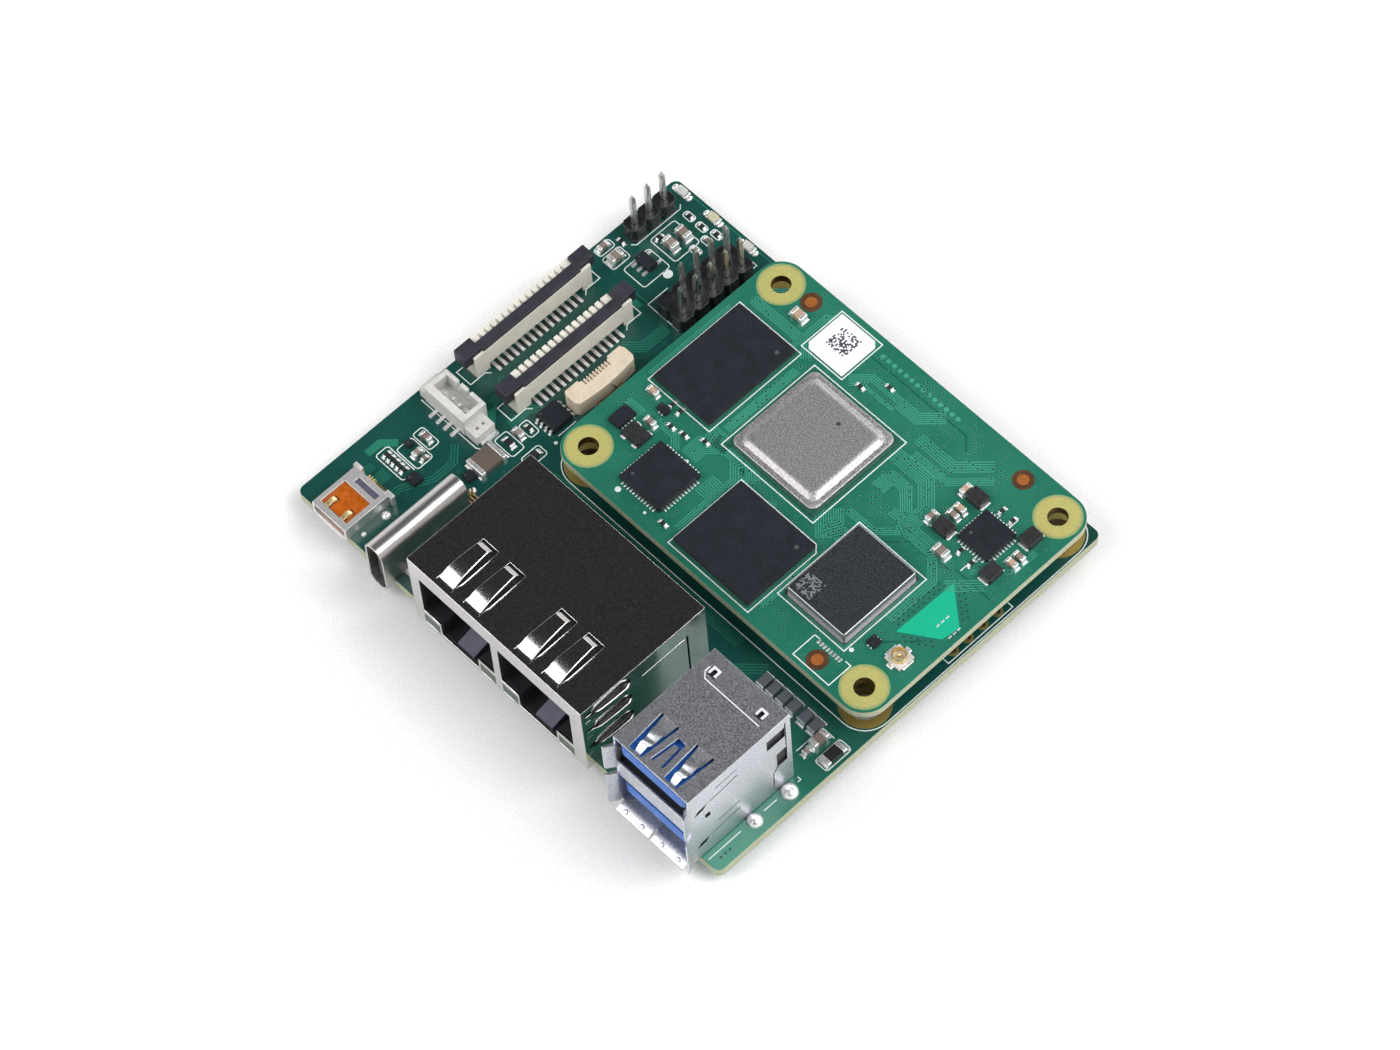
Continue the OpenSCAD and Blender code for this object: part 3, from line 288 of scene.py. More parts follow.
# near-black disc for each small hole: painted shade standing for the depth of the hole
VIA_SHADE = moulded("via_pit_shade", (0.001, 0.014, 0.012), 0.6, grain=3.5)
SILK = ink("white_print", (0.74, 0.80, 0.78))
GOLD = plated("gold_pads", (0.62, 0.47, 0.16), 0.42, speck=0.2)
HOLE_WALL = plated("hole_wall", (0.16, 0.10, 0.035), 0.4, speck=0.2)
RING_METAL = 0.3
PALE_GOLD = plated("pale_gold_rings", (0.49, 0.46, 0.15), 0.5, metal=RING_METAL)
RING_EDGE = plated("ring_under_mask", (0.25, 0.40, 0.15), 0.45, metal=RING_METAL)
RING_BLUSH = plated("ring_blush", (0.44, 0.38, 0.17), 0.5, metal=RING_METAL)
BRIGHT_GOLD = plated("gold_contacts", (0.9, 0.66, 0.30), 0.25)
SOFT_GOLD = plated("aerial_gold", (0.86, 0.68, 0.36), 0.38)
PIN_METAL = plated("pin_metal", (0.55, 0.54, 0.52), 0.26, brush=(1, 1, 0.15), grain=3.0, bump=0.05, speck=0.3)
STEEL = plated("shell_steel", (0.6, 0.61, 0.66), 0.36, grain=5.0, bump=0.06, speck=0.22)
DISPLAY_STEEL = plated("display_shell_steel", (0.86, 0.85, 0.84), 0.45, grain=5.0, bump=0.08, speck=0.08)
# near-white material for the shell's raised line and tabs: painted highlight on real ridges of the steel
RAISED_HIGHLIGHT = plated("raised_line_highlight", (0.86, 0.87, 0.9), 0.4, speck=0.05, metal=0.25)
BRUSHED = plated("brushed_tube", (0.62, 0.6, 0.59), 0.32, brush=(1.6, 0.05, 1.6), grain=4.0, bump=0.25,
                 speck=0.1)
MIRROR = plated("mirror_steel", (0.68, 0.66, 0.65), 0.14, grain=5.0, bump=0.03, speck=0.1, stain=0.02)
NICKEL = plated("lid_nickel", (0.45, 0.435, 0.44), 0.48, grain=5.0, bump=0.3, speck=0.3)
CAN = plated("radio_can_metal", (0.085, 0.092, 0.107), 0.45, grain=6.0, bump=0.2, speck=0.35)
# dimmed mid-grey metal for the radio can's sides, also used on its frame: painted reflection of the board
CAN_SIDE = plated("radio_can_side", (0.30, 0.30, 0.31), 0.3, bump=0.1)
TIN = molten("tin")
BLACK = moulded("black_moulding", (0.012, 0.012, 0.014), 0.45)
HEADER = moulded("header_moulding", (0.010, 0.011, 0.013), 0.3, bump=0.12)
PORT = moulded("port_moulding", (0.012, 0.014, 0.017), 0.4)
SLATE = moulded("slate_moulding", (0.085, 0.08, 0.125), 0.5)
NAVY = moulded("latch_moulding", (0.018, 0.018, 0.028), 0.5, speck=0.5, grain=5.0, bump=0.6)
BLUE = moulded("blue_moulding", (0.012, 0.11, 0.42), 0.4, speck=0.1)
SAND = moulded("sand_moulding", (0.66, 0.63, 0.56), 0.55, speck=0.06)
IVORY = moulded("ivory_moulding", (0.53, 0.52, 0.50), 0.5, speck=0.1)
BISQUE = moulded("bisque_moulding", (0.59, 0.50, 0.385), 0.5, speck=0.08, grain=4.0)
AMBER = moulded("amber_film", (0.38, 0.085, 0.006), 0.25, speck=0.2, grain=2.0)
EPOXY = moulded("chip_epoxy", (0.0085, 0.0108, 0.0165), 0.5, speck=0.3, grain=5.0, bump=0.4, gloss=0.3)
DARK_LEAD = moulded("inductor_body", (0.014, 0.014, 0.017), 0.45)
FERRITE = ceramic("ferrite", (0.085, 0.096, 0.112), 0.15)
BROWN = ceramic("brown_ceramic", (0.2, 0.155, 0.13))
TAUPE = ceramic("taupe_ceramic", (0.245, 0.2, 0.175))
PEACH = ceramic("peach_ceramic", (0.43, 0.30, 0.215))
FUSE = ceramic("fuse_body", (0.11, 0.085, 0.07), 0.2)
RESISTOR = ceramic("resistor_glass", (0.012, 0.012, 0.014), 0.2)
WHITE_LAMP = lamp("white_lamp", (0.85, 0.85, 0.82))
YELLOW_LAMP = lamp("yellow_lamp", (0.78, 0.76, 0.5))
PIPE = lamp("light_window", (0.035, 0.085, 0.055))
PAPER = ink("label_paper", (0.80, 0.81, 0.85), 0.7)
DOTS = ink("label_print", (0.03, 0.03, 0.035))
MARK = ink("etched_mark", (0.055, 0.058, 0.062))
CODE_GREY = ink("laser_mark", (0.17, 0.18, 0.19))
COPPER = plated("bare_copper", (0.78, 0.27, 0.07), 0.45)
RING_SHADE = moulded("fiducial_ring", (0.075, 0.032, 0.012), 0.4, grain=3.5)
SUBSTRATE = solder_mask("processor_substrate", (0.01, 0.09, 0.06), (0.015, 0.12, 0.08))


# ---------------------------------------------------------------- shapes

def arc(cx, cy, r, a0, a1, steps):
    """Points round part of a circle, angles in degrees."""
    turn = [math.radians(a0 + (a1 - a0) * i / steps) for i in range(steps + 1)]
    return [(cx + r * math.cos(t), cy + r * math.sin(t)) for t in turn]


def round_rect(x0, y0, x1, y1, r, steps=4):
    """Outline of a rectangle with round corners, counter-clockwise."""
    if r <= 0:
        return [(x0, y0), (x1, y0), (x1, y1), (x0, y1)]
    return (arc(x1 - r, y0 + r, r, -90, 0, steps) + arc(x1 - r, y1 - r, r, 0, 90, steps)
            + arc(x0 + r, y1 - r, r, 90, 180, steps) + arc(x0 + r, y0 + r, r, 180, 270, steps))


def pulled_in(lo, hi, back, corner, steps, z):
    """Ring at one level: the outline of a box pulled in by back, with round corners."""
    outline = round_rect(lo[0] + back, lo[1] + back, hi[0] - back, hi[1] - back, corner, steps)
    return [(x, y, z) for x, y in outline]


class Shape:
    """Closed solids in carrier millimetres that become one piece."""

    def __init__(self):
        self.bm = bmesh.new()

    def loft(self, rings, mat=0):
        """Skin from ring to ring, closed at both ends."""
        rows = [[self.bm.verts.new(p) for p in ring] for ring in rings]
        n = len(rows[0])
        faces = [self.bm.faces.new((a[i], a[(i + 1) % n], b[(i + 1) % n], b[i]))
                 for a, b in zip(rows, rows[1:]) for i in range(n)]
        faces.append(self.bm.faces.new(rows[0][::-1]))
        faces.append(self.bm.faces.new(rows[-1]))
        for face in faces:
            face.material_index = mat

    def prism(self, outline, z0, z1, mat=0):
        self.loft([[(x, y, z) for x, y in outline] for z in (z0, z1)], mat)

    def block(self, lo, hi, r, corner=None, mat=0, steps=2):
        """Block with every edge rounded by r, and upright corners by corner."""
        corner = max(corner or r, r * 1.01)
        turns = [math.pi / 2 * i / steps for i in range(steps, -1, -1)]
        low = [(lo[2] + r - r * math.sin(a), r - r * math.cos(a)) for a in turns]
        high = [(lo[2] + hi[2] - z, back) for z, back in reversed(low)]
        self.loft([pulled_in(lo, hi, back, corner - back * 0.98, 4, z) for z, back in low + high], mat)

    def lathe(self, profile, centre, turns=32, mat=0):
        """A closed outline of (radius, height) turned round an upright axis."""
        cx, cy = centre
        rings = []
        for i in range(turns):
            t = 2 * math.pi * i / turns
            points = [(cx + r * math.cos(t), cy + r * math.sin(t), z) for r, z in profile]
            rings.append([self.bm.verts.new(p) for p in points])
        n = len(profile)
        for a, b in zip(rings, rings[1:] + rings[:1]):
            for j in range(n):
                k = (j + 1) % n
                face = self.bm.faces.new((a[j], a[k], b[k], b[j]))
                face.material_index = mat

    def dome(self, centre, r, z, height, mat=0, waist=1.0):
        """A drop of solder on a level; waist narrows or widens it along y."""
        turns, steps = 20, 4
        cx, cy = centre
        rings = []
        for i in range(steps + 1):
            a = math.pi / 2 * i / steps * 0.97
            flat, up = r * math.cos(a), z + height * math.sin(a)
            angles = [2 * math.pi * k / turns for k in range(turns)]
            rings.append([(cx + flat * math.cos(t), cy + flat * waist * math.sin(t), up) for t in angles])
        self.loft(rings, mat)

    def ribbon(self, path, width, z0, z1, mat=0, closed=False):
        """A flat line of one width along a path, with mitred corners."""
        pts = [Vector(p) for p in path]
        n = len(pts)
        sides = []
        for i, p in enumerate(pts):
            before = pts[i - 1] if i or closed else None
            after = pts[(i + 1) % n] if i < n - 1 or closed else None
            d1 = (p - before).normalized() if before is not None else (after - p).normalized()
            d2 = (after - p).normalized() if after is not None else d1
            normal = Vector((-d1.y - d2.y, d1.x + d2.x))
            normal = normal.normalized() if normal.length > 1e-6 else Vector((-d1.y, d1.x))
            reach = width / 2 / max(0.35, normal.dot(Vector((-d1.y, d1.x))))
            sides.append((p + normal * reach, p - normal * reach))
        rows = []
        for a, b in sides:
            section = ((a, z0), (b, z0), (b, z1), (a, z1))
            rows.append([self.bm.verts.new((q.x, q.y, z)) for q, z in section])
        pairs = list(zip(rows, rows[1:])) + ([(rows[-1], rows[0])] if closed else [])
        faces = [self.bm.faces.new((a[j], a[(j + 1) % 4], b[(j + 1) % 4], b[j]))
                 for a, b in pairs for j in range(4)]
        if not closed:
            faces += [self.bm.faces.new(rows[0][::-1]), self.bm.faces.new(rows[-1])]
        for face in faces:
            face.material_index = mat

    def cells(self, x0, y0, z0, z1, count, cell, share, mat):
        """Square of small printed cells, each there or not by chance."""
        for i in range(count):
            for j in range(count):
                if dice.random() < share:
                    x, y = x0 + i * cell, y0 + j * cell
                    self.prism(rectangle(x, y, x + cell * 0.96, y + cell * 0.96), z0, z1, mat)

    def stand_in(self, name, materials, node, soften=45):
        """Makes the piece that stands for one CAD node."""
        return self.piece(name, materials, BODY_OF[node], node, soften)

    def piece(self, name, materials, body, stands_for=(), soften=45):
        """Makes the piece, rides it on its body and hides the CAD nodes it stands for."""
        self.to_metres()
        return finish_mesh(self.bm, name, materials, body, stands_for, soften)

    def to_metres(self):
        """Faces outward, and every corner moved from carrier millimetres to the row frame."""
        bmesh.ops.recalc_face_normals(self.bm, faces=self.bm.faces)
        for v in self.bm.verts:
            v.co = place(v.co)


def add_object(name, data):
    obj = bpy.data.objects.new(name, data)
    bpy.context.scene.collection.objects.link(obj)
    return obj


def finish_mesh(bm, name, materials, body, stands_for=(), soften=45):
    """Turns a bmesh into a piece: even shading, materials, body and the nodes it replaces."""
    for edge in bm.edges:
        edge.smooth = edge.is_manifold and edge.calc_face_angle(0) < math.radians(soften)
    for face in bm.faces:
        face.smooth = True
    mesh = bpy.data.meshes.new(name)
    bm.to_mesh(mesh)
    bm.free()
    obj = add_object(name, mesh)
    for material in materials if isinstance(materials, (list, tuple)) else [materials]:
        mesh.materials.append(material)
    weigh = obj.modifiers.new("even_shading", "WEIGHTED_NORMAL")
    weigh.keep_sharp = True
    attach(obj, body)
    if stands_for:
        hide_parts(*([stands_for] if isinstance(stands_for, str) else stands_for))
    return obj


BODY_OF = {n: body for body, nodes in frame["record"]["behaviour"]["bodies"].items() for n in nodes}
WELD = 2e-6


def from_cad(node, materials, edge, steps=2, paint=None, shortest=0.0, merge=True, sink=0.0):
    """The CAD node's own shape with its edges rounded.

    paint picks a face's material, shortest is the shortest edge that is rounded, merge joins
    triangles into flat faces, and sink lowers the flat top to leave room for raised detail.
    """
    bm = bmesh.new()
    bm.from_mesh(frame["nodes"][node].data)
    bmesh.ops.remove_doubles(bm, verts=bm.verts, dist=WELD)
    if merge:
        bmesh.ops.dissolve_limit(bm, angle_limit=math.radians(2), verts=bm.verts, edges=bm.edges)
    top = max(v.co.z for v in bm.verts)
    for v in bm.verts:
        if v.co.z > top - 1e-6:
            v.co.z -= sink * MM
    sharp = [e for e in bm.edges if e.is_manifold and e.calc_face_angle(0) > math.radians(35)
             and e.calc_length() > shortest * MM]
    bmesh.ops.bevel(bm, geom=sharp, offset=edge * MM, segments=steps, profile=0.5, affect="EDGES",
                    clamp_overlap=False)
    if paint is not None:
        for face in bm.faces:
            face.material_index = paint(face)
    return finish_mesh(bm, node + "_shape", materials, BODY_OF[node], node)


def upright(face):
    """Second material for upright faces."""
    return 1 if abs(face.normal.z) < 0.7 else 0


def spots(face):
    """Corners of a face in carrier millimetres."""
    return [(v.co - ZERO) / MM for v in face.verts]


def islands(node):
    """Low and high corners of each separate solid of a CAD node, in carrier millimetres."""
    bm = bmesh.new()
    bm.from_mesh(frame["nodes"][node].data)
    bmesh.ops.remove_doubles(bm, verts=bm.verts, dist=WELD)
    seen, boxes = set(), []
    for start in bm.verts:
        if start in seen:
            continue
        stack, points = [start], []
        seen.add(start)
        while stack:
            v = stack.pop()
            points.append((v.co - ZERO) / MM)
            for edge in v.link_edges:
                other = edge.other_vert(v)
                if other not in seen:
                    seen.add(other)
                    stack.append(other)
        boxes.append((Vector(map(min, zip(*points))), Vector(map(max, zip(*points)))))
    bm.free()
    return sorted(boxes, key=lambda b: (round(b[0].x, 3), round(b[0].y, 3)))


# ---------------------------------------------------------------- boards

def bolt_centres():
    """Centres of the four holes the two boards share."""
    return [on_module(sx * 24, sy * 16.5) for sx in (-1, 1) for sy in (-1, 1)]


def spare_centres():
    """Centres of the open row of plated holes by the carrier's edge."""
    return [(35.9, 8.2 + i * 2.54) for i in range(4)]


RING_TURNS = 48


def plated_ring(shape, centre, hole, outer, z0, z1, wall):
    """Flat pads on both faces of a board, and the plated wall between them in its own material."""
    skin = 0.035
    before = set(shape.bm.faces)
    profile = [(hole - skin, z0 - skin), (outer, z0 - skin), (outer, z0), (hole, z0), (hole, z1),
               (outer, z1), (outer, z1 + skin), (hole - skin, z1 + skin)]
    shape.lathe(profile, centre, RING_TURNS)
    for face in set(shape.bm.faces) - before:
        if min(v.co.z for v in face.verts) < z0 + 0.01 and max(v.co.z for v in face.verts) > z1 - 0.01:
            face.material_index = wall


CARRIER_HOLE, CARRIER_PAD = 2.25, 3.35
MODULE_HOLE, MODULE_PAD = 1.35, 2.72
SPARE_HOLE, SPARE_PAD = 0.5, 0.85


def make_boards():
    """Both boards and the plated rings of their holes."""
    from_cad("carrier_board", [MASK, EDGE], 0.06, 1, upright)
    from_cad("module_board", [MODULE_MASK, EDGE], 0.08, 2, upright)
    rings = Shape()
    for centre in bolt_centres():
        plated_ring(rings, centre, CARRIER_HOLE, CARRIER_PAD, 0, BOARD_T, 1)
    rings.piece("carrier_hole_rings", [GOLD, HOLE_WALL], "carrier")
    rings = Shape()
    for centre in bolt_centres():
        plated_ring(rings, centre, MODULE_HOLE, MODULE_PAD, MOD_LO.z, MOD_TOP, 3)
        for inner, outer, mat in ((MODULE_PAD, 2.9, 1), (2.9, 3.12, 2)):
            for z0, z1 in ((MOD_TOP, MOD_TOP + 0.03), (MOD_LO.z - 0.03, MOD_LO.z)):
                rings.lathe([(inner, z0), (outer, z0), (outer, z1), (inner, z1)], centre, RING_TURNS, mat)
    metals = [PALE_GOLD, RING_BLUSH, RING_EDGE, HOLE_WALL]
    rings.piece("module_hole_rings", metals, "compute_module")
    rings = Shape()
    for centre in spare_centres():
        plated_ring(rings, centre, SPARE_HOLE, SPARE_PAD, 0, BOARD_T, 1)
    rings.piece("spare_hole_rings", [GOLD, HOLE_WALL], "carrier")


PRINT_LIFT = 0.025

# corners of the printed frames on the carrier: x0, y0, x1, y1
CARRIER_FRAMES = [
    (-33, 23.5, -28.3, 27.8), (-32.2, 18.1, -28.3, 22.6), (-37, 17.4, -35.6, 20),
    (-35.2, 17.2, -33, 20.2), (-25.3, -10.5, -21.9, -8.4), (-21, -10, -19.2, -7),
    (-33.2, -17, -30, -15.3), (-33, -19.9, -29, -17.3), (-34.2, -22.3, -29.1, -20.2),
    (-32.9, 29, -31.2, 30), (-30.6, 29, -28.9, 30), (-28.4, 29.5, -26.7, 30.5),
    (-24.7, -7, -22.3, -5.5), (34.9, -14, 36.95, -9.8), (-28.6, 28, -26.9, 29),
    (-28.6, 26, -26.9, 27),
]

# open printed lines on the carrier
CARRIER_LINES = [
    [(-34.2, 21.4), (-33.7, 21.9), (-33.7, 29.5), (-34.2, 30)],
    [(-26.2, 16.7), (-20.6, 16.7), (-20.6, 30.3), (-21.4, 30.3)],
    [(-26.2, 16.7), (-26.2, 20.2)],
    [(-36.2, -12.75), (-26.1, -12.75), (-25.3, -12.2)],
    [(35.4, -32), (35.4, -26.7)],
    [(35.4, -22.9), (35.4, -20.8)],
    [(35, -16.9), (35.5, -16.9), (35.5, -17.4)],
    [(34.5, 17.6), (36.9, 17.6), (36.9, 6.6), (34.5, 6.6)],
    [(-20.1, -4.4), (-20.1, -1.4)],
]

# open printed lines on the module, and its printed dots with their radius
MODULE_LINES = [
    [(14.7, -15.6), (14.7, -19.3), (20.8, -19.3), (20.8, -15.6), (19.9, -15.6)],
    [(14.7, -15.6), (15.6, -15.6)],
    [(20.9, 2.9), (20.9, 12.8)],
]
MODULE_DOTS = [(-16.95, -18.2, 0.4), (-13.8, -9.5, 0.2), (-12.2, -18.2, 0.2), (19.3, -14.0, 0.3),
               (22.7, 5.5, 0.2)]


def rectangle(x0, y0, x1, y1):
    return [(x0, y0), (x1, y0), (x1, y1), (x0, y1)]


def printed_dot(shape, x, y, r, steps, z):
    shape.prism(arc(x, y, r, 0, 345, steps), z, z + PRINT_LIFT)


def make_carrier_print():
    """White printed outlines round the carrier's parts."""
    shape = Shape()

    def line(path, closed=False, width=0.14):
        shape.ribbon(path, width, BOARD_T, BOARD_T + PRINT_LIFT, 0, closed)

    off = 0.15
    line(round_rect(MOD_LO.x - off, MOD_LO.y - off, MOD_HI.x + off, MOD_HI.y + off, 3.5 + off, 8), True)
    for x in (-36, -28.5):
        line([(x, -5.9), (x, -6.95), (x + 2.6, -6.95), (x + 2.6, -4.5), (x + 3.2, -3.9)])
        line([(x + 1, 15.2), (x + 2.6, 15.2), (x + 2.6, 12.8), (x + 3.2, 12.2)])
    for path in CARRIER_LINES:
        line(path)
    for corners in CARRIER_FRAMES:
        line(round_rect(*corners, 0.35, 2), True, 0.13)
    line([(32.4, -14.6), (32.4, -10.2), (34.4, -10.2)])
    printed_dot(shape, -27.7, 21.6, 0.65, 23, BOARD_T)
    printed_dot(shape, -19.6, -5.3, 0.25, 11, BOARD_T)
    shape.piece("carrier_print", SILK, "carrier")


def make_module_print():
    """White printed outlines round the module's larger parts, and its dots."""
    shape = Shape()
    z0, z1 = MOD_TOP, MOD_TOP + PRINT_LIFT
    for node, grow, cut in (("memory_chip", 0.45, 0), ("storage_chip", 0.45, 0.9), ("processor_base", 0.5, 0),
                            ("module_label", 0.3, 0), ("radio_frame", 0.5, 0)):
        lo, hi = measure(node)
        x0, y0, x1, y1 = lo.x - grow, lo.y - grow, hi.x + grow, hi.y + grow
        path = rectangle(x0, y0, x1, y1)
        if cut:
            path = [(x0, y0), (x1, y0), (x1, y1 - cut), (x1 - cut, y1), (x0, y1)]
        shape.ribbon(path, 0.15, z0, z1, 0, True)
    for path in MODULE_LINES:
        shape.ribbon([on_module(*p) for p in path], 0.14, z0, z1)
    for x, y, r in MODULE_DOTS:
        printed_dot(shape, *on_module(x, y), r, 15, MOD_TOP)
    shape.piece("module_print", SILK, "compute_module")


TRACK_LIFT = 0.014


def bus(shape, path, count, pitch, width, z):
    """Parallel copper tracks side by side along one route."""
    for i in range(count):
        aside = (i - (count - 1) / 2) * pitch
        pts = [Vector(p) for p in path]
        moved = []
        for k, p in enumerate(pts):
            d1 = (p - pts[k - 1]).normalized() if k else (pts[1] - p).normalized()
            d2 = (pts[k + 1] - p).normalized() if k < len(pts) - 1 else d1
            normal = Vector((-d1.y - d2.y, d1.x + d2.x)).normalized()
            moved.append(p + normal * aside / max(0.4, normal.dot(Vector((-d1.y, d1.x)))))
        shape.ribbon(moved, width, z, z + TRACK_LIFT)


def keep_out(nodes, grow):
    """Areas that the solids of some nodes cover, grown a little."""
    boxes = [box for node in nodes for box in islands(node)]
    return [(lo.x - grow, lo.y - grow, hi.x + grow, hi.y + grow) for lo, hi in boxes]


def squares(centres, half):
    """Square areas round some places."""
    return [(x - half, y - half, x + half, y + half) for x, y in centres]


def within(x, y, area):
    return area[0] < x < area[2] and area[1] < y < area[3]


def scatter_vias(name, body, box, count, areas, z, rim):
    """Small plated holes under the resist, some in rows: a thin rim round a dark disc of painted shade
    standing for the hole.
    """
    shape = Shape()
    taken = []
    while len(taken) < count:
        x, y = dice.uniform(box[0], box[2]), dice.uniform(box[1], box[3])
        way = dice.choice(((0.75, 0), (0, 0.75), (0.6, 0.6), (0.6, -0.6)))
        for step in range(dice.choice((1, 1, 2, 3, 5))):
            at = (x + way[0] * step, y + way[1] * step)
            apart = all(abs(at[0] - a) + abs(at[1] - b) > 0.55 for a, b in taken)
            if within(*at, box) and apart and not any(within(*at, area) for area in areas):
                taken.append(at)
                shape.lathe([(0.14, z), (0.21, z), (0.21, z + 0.02), (0.14, z + 0.02)], at, 12, 0)
                shape.prism(arc(*at, 0.14, 0, 330, 11), z - 0.01, z + 0.018, 1)
    shape.piece(name, [rim, VIA_SHADE], body)


def serpentine(x, y, wide, rows, pitch):
    """A track that runs back and forth to make up its length."""
    path = []
    for row in range(rows):
        ends = (x, x + wide) if row % 2 == 0 else (x + wide, x)
        path += [(end, y + row * pitch) for end in ends]
    return path


MODULE_ROUTES = [
    # route in module places, tracks, pitch
    ([(-12.5, -5), (-14.2, -6.7), (-14.2, -9)], 9, 0.3),
    ([(-15, -4.6), (-8, -4.6), (-6, -6.2)], 8, 0.3),
    ([(3.4, -2), (6.4, -5)], 12, 0.3),
    ([(-9.5, -5.2), (-7.4, -7.2), (-7.4, -17)], 6, 0.32),
    ([(3.4, 9), (9, 9), (12, 6), (12, 1.5)], 7, 0.32),
    ([(4, 12.6), (10, 12.6), (13.6, 16.2)], 5, 0.35),
    ([(5.2, 10.6), (11, 10.6), (15, 14.6)], 4, 0.3),
    ([(5, 6.5), (8, 6.5), (10.5, 4)], 6, 0.28),
    ([(5.2, -0.6), (9.5, -0.6), (12.2, 2.1), (17.8, 2.1)], 4, 0.3),
    ([(-25.5, 13.6), (-22.5, 16.6), (-21.4, 16.6)], 3, 0.3),
    ([(-2.4, -6.2), (-0.4, -8.2), (-0.4, -17.2)], 5, 0.26),
    ([(21.8, 3.5), (25.6, 7.3), (25.6, 11)], 3, 0.3),
    ([(-16.5, 10.6), (-16.5, 17), (-14.6, 18.4), (-9, 18.4)], 3, 0.3),
    ([(-8, 12.5), (-6, 14.5), (2, 14.5), (4.5, 17)], 6, 0.3),
    ([(-26, -4), (-26, 10)], 4, 0.3),
    ([(-25, 12.6), (-15.5, 12.6), (-14, 11)], 5, 0.3),
    ([(-13.6, 9), (-13.6, -3)], 5, 0.25),
    ([(7.3, -9), (7.3, -17.4)], 3, 0.28),
    ([(9, 3), (16, 3), (19.5, -0.5), (19.5, -8)], 4, 0.35),
    ([(24.5, 3.5), (21, 0)], 5, 0.35),
    ([(-21, -8), (-17.5, -8), (-16, -9.5)], 4, 0.3),
    ([(-10.2, -10.2), (-7.5, -10.2)], 9, 0.35),
]

# corner, width, rows and pitch of tracks that fold back on themselves
MODULE_FOLDS = [(-13.6, -5.9, 2.2, 7, 0.28), (4.9, -4.6, 2.4, 8, 0.28), (4.6, 4.2, 1.9, 8, 0.28),
                (-6.6, 13.1, 5.4, 4, 0.3), (11.6, 4.8, 2.2, 6, 0.3), (-25.4, -9.6, 2.6, 6, 0.3)]

# gaps between copper areas under the module's resist
MODULE_GAPS = [
    [(20.2, 2.6), (26.9, 2.5)],
    [(21.2, -10.6), (24.5, -7.2)],
    [(-14.6, -4.1), (3.8, -4.1), (5.6, -2.3)],
    [(7.9, -4.3), (14.2, 2), (20.2, 2)],
    [(-9, 16.9), (8, 16.9), (9.6, 15.3)],
]

CARRIER_ROUTES = [
    ([(-31.5, -3.3), (-29.6, -5.2), (-29.6, -8)], 4, 0.32),
    ([(-24.4, -3), (-25.6, -4.2), (-25.6, -7.6)], 4, 0.32),
    ([(-28.4, -14.2), (-26.6, -16), (-26.6, -19.4), (-28.6, -23.4), (-28.6, -25)], 3, 0.4),
    ([(-33.4, -23.4), (-33.4, -25)], 4, 0.32),
    ([(-31.4, -22.8), (-31.4, -25)], 6, 0.3),
    ([(-24, 10), (-22, 12), (-22, 16)], 5, 0.35),
    ([(-19, -14), (-19, -11), (-16, -9), (17, -9)], 5, 0.35),
    ([(18, -13), (20, -11), (22, -9.2)], 4, 0.4),
    ([(-30.5, 16.6), (-26, 16.6)], 2, 0.5),
    ([(-37, 31.9), (-18, 31.9)], 1, 0.5),
]

# broad feeds on the carrier, and their widths
CARRIER_FEEDS = [
    ([(-35.2, -22.8), (-35.2, -20.6), (-33.6, -19)], 1.1),
    ([(-30.2, -7.6), (-29, -7.6), (-26.4, -10.2)], 1.3),
    ([(-29, 15.9), (-26.6, 15.9)], 1.0),
]


AERIAL_CORNERS = [(21.5, 1.1), (21.3, -8.5), (26.0, -5.4), (26.4, -2.8)]


def make_aerial_area():
    """Bare patch by the aerial, and the rows of small holes that fence it in."""
    shape = Shape()
    corners = [Vector(on_module(*p)) for p in AERIAL_CORNERS]
    shape.prism(corners, MOD_TOP, MOD_TOP + 0.01)
    pitch = 0.85
    for a, b in zip(corners, corners[1:] + corners[:1]):
        along = (b - a).normalized()
        away = Vector((along.y, -along.x))
        for row in (0.5, 1.15):
            for i in range(1, int((b - a).length / pitch)):
                at = a + along * pitch * (i + row / 2) + away * row
                if at.x < MOD_HI.x - 0.4:
                    # each fence hole is a dark disc of painted shade standing for the hole
                    shape.prism(arc(*at, 0.12, 0, 330, 11), MOD_TOP, MOD_TOP + 0.02, 1)
    shape.piece("aerial_area", [CLEAR_PCB, VIA_SHADE], "compute_module")


def fiducial_centres():
    return [on_module(x, y) for x, y in ((-19.45, 17.3), (17.35, 17.3), (17.35, -17.8))]


def make_tracks():
    """Copper tracks under the resist of both boards, and the gaps between copper areas."""
    tracks = Shape()
    for path, count, pitch in MODULE_ROUTES:
        bus(tracks, [on_module(*p) for p in path], count, pitch, 0.13, MOD_TOP)
    for x, y, wide, rows, pitch in MODULE_FOLDS:
        bus(tracks, serpentine(*on_module(x, y), wide, rows, pitch), 1, pitch, 0.14, MOD_TOP)
    for i in range(14):
        tracks.prism(arc(*on_module(-7.4 + i, 17.9), 0.36, 0, 300, 5), MOD_TOP, MOD_TOP + 0.012)
    tracks.piece("module_tracks", MODULE_COPPER, "compute_module")
    tracks = Shape()
    for path, count, pitch in CARRIER_ROUTES:
        bus(tracks, path, count, pitch, 0.14, BOARD_T)
    for path, width in CARRIER_FEEDS:
        tracks.ribbon(path, width, BOARD_T, BOARD_T + TRACK_LIFT)
    tracks.piece("carrier_tracks", COPPER_UNDER, "carrier")
    gaps = Shape()
    for path in MODULE_GAPS:
        gaps.ribbon([on_module(*p) for p in path], 0.22, MOD_TOP, MOD_TOP + 0.01)
    gaps.piece("module_clearance_lines", MODULE_GAP, "compute_module")


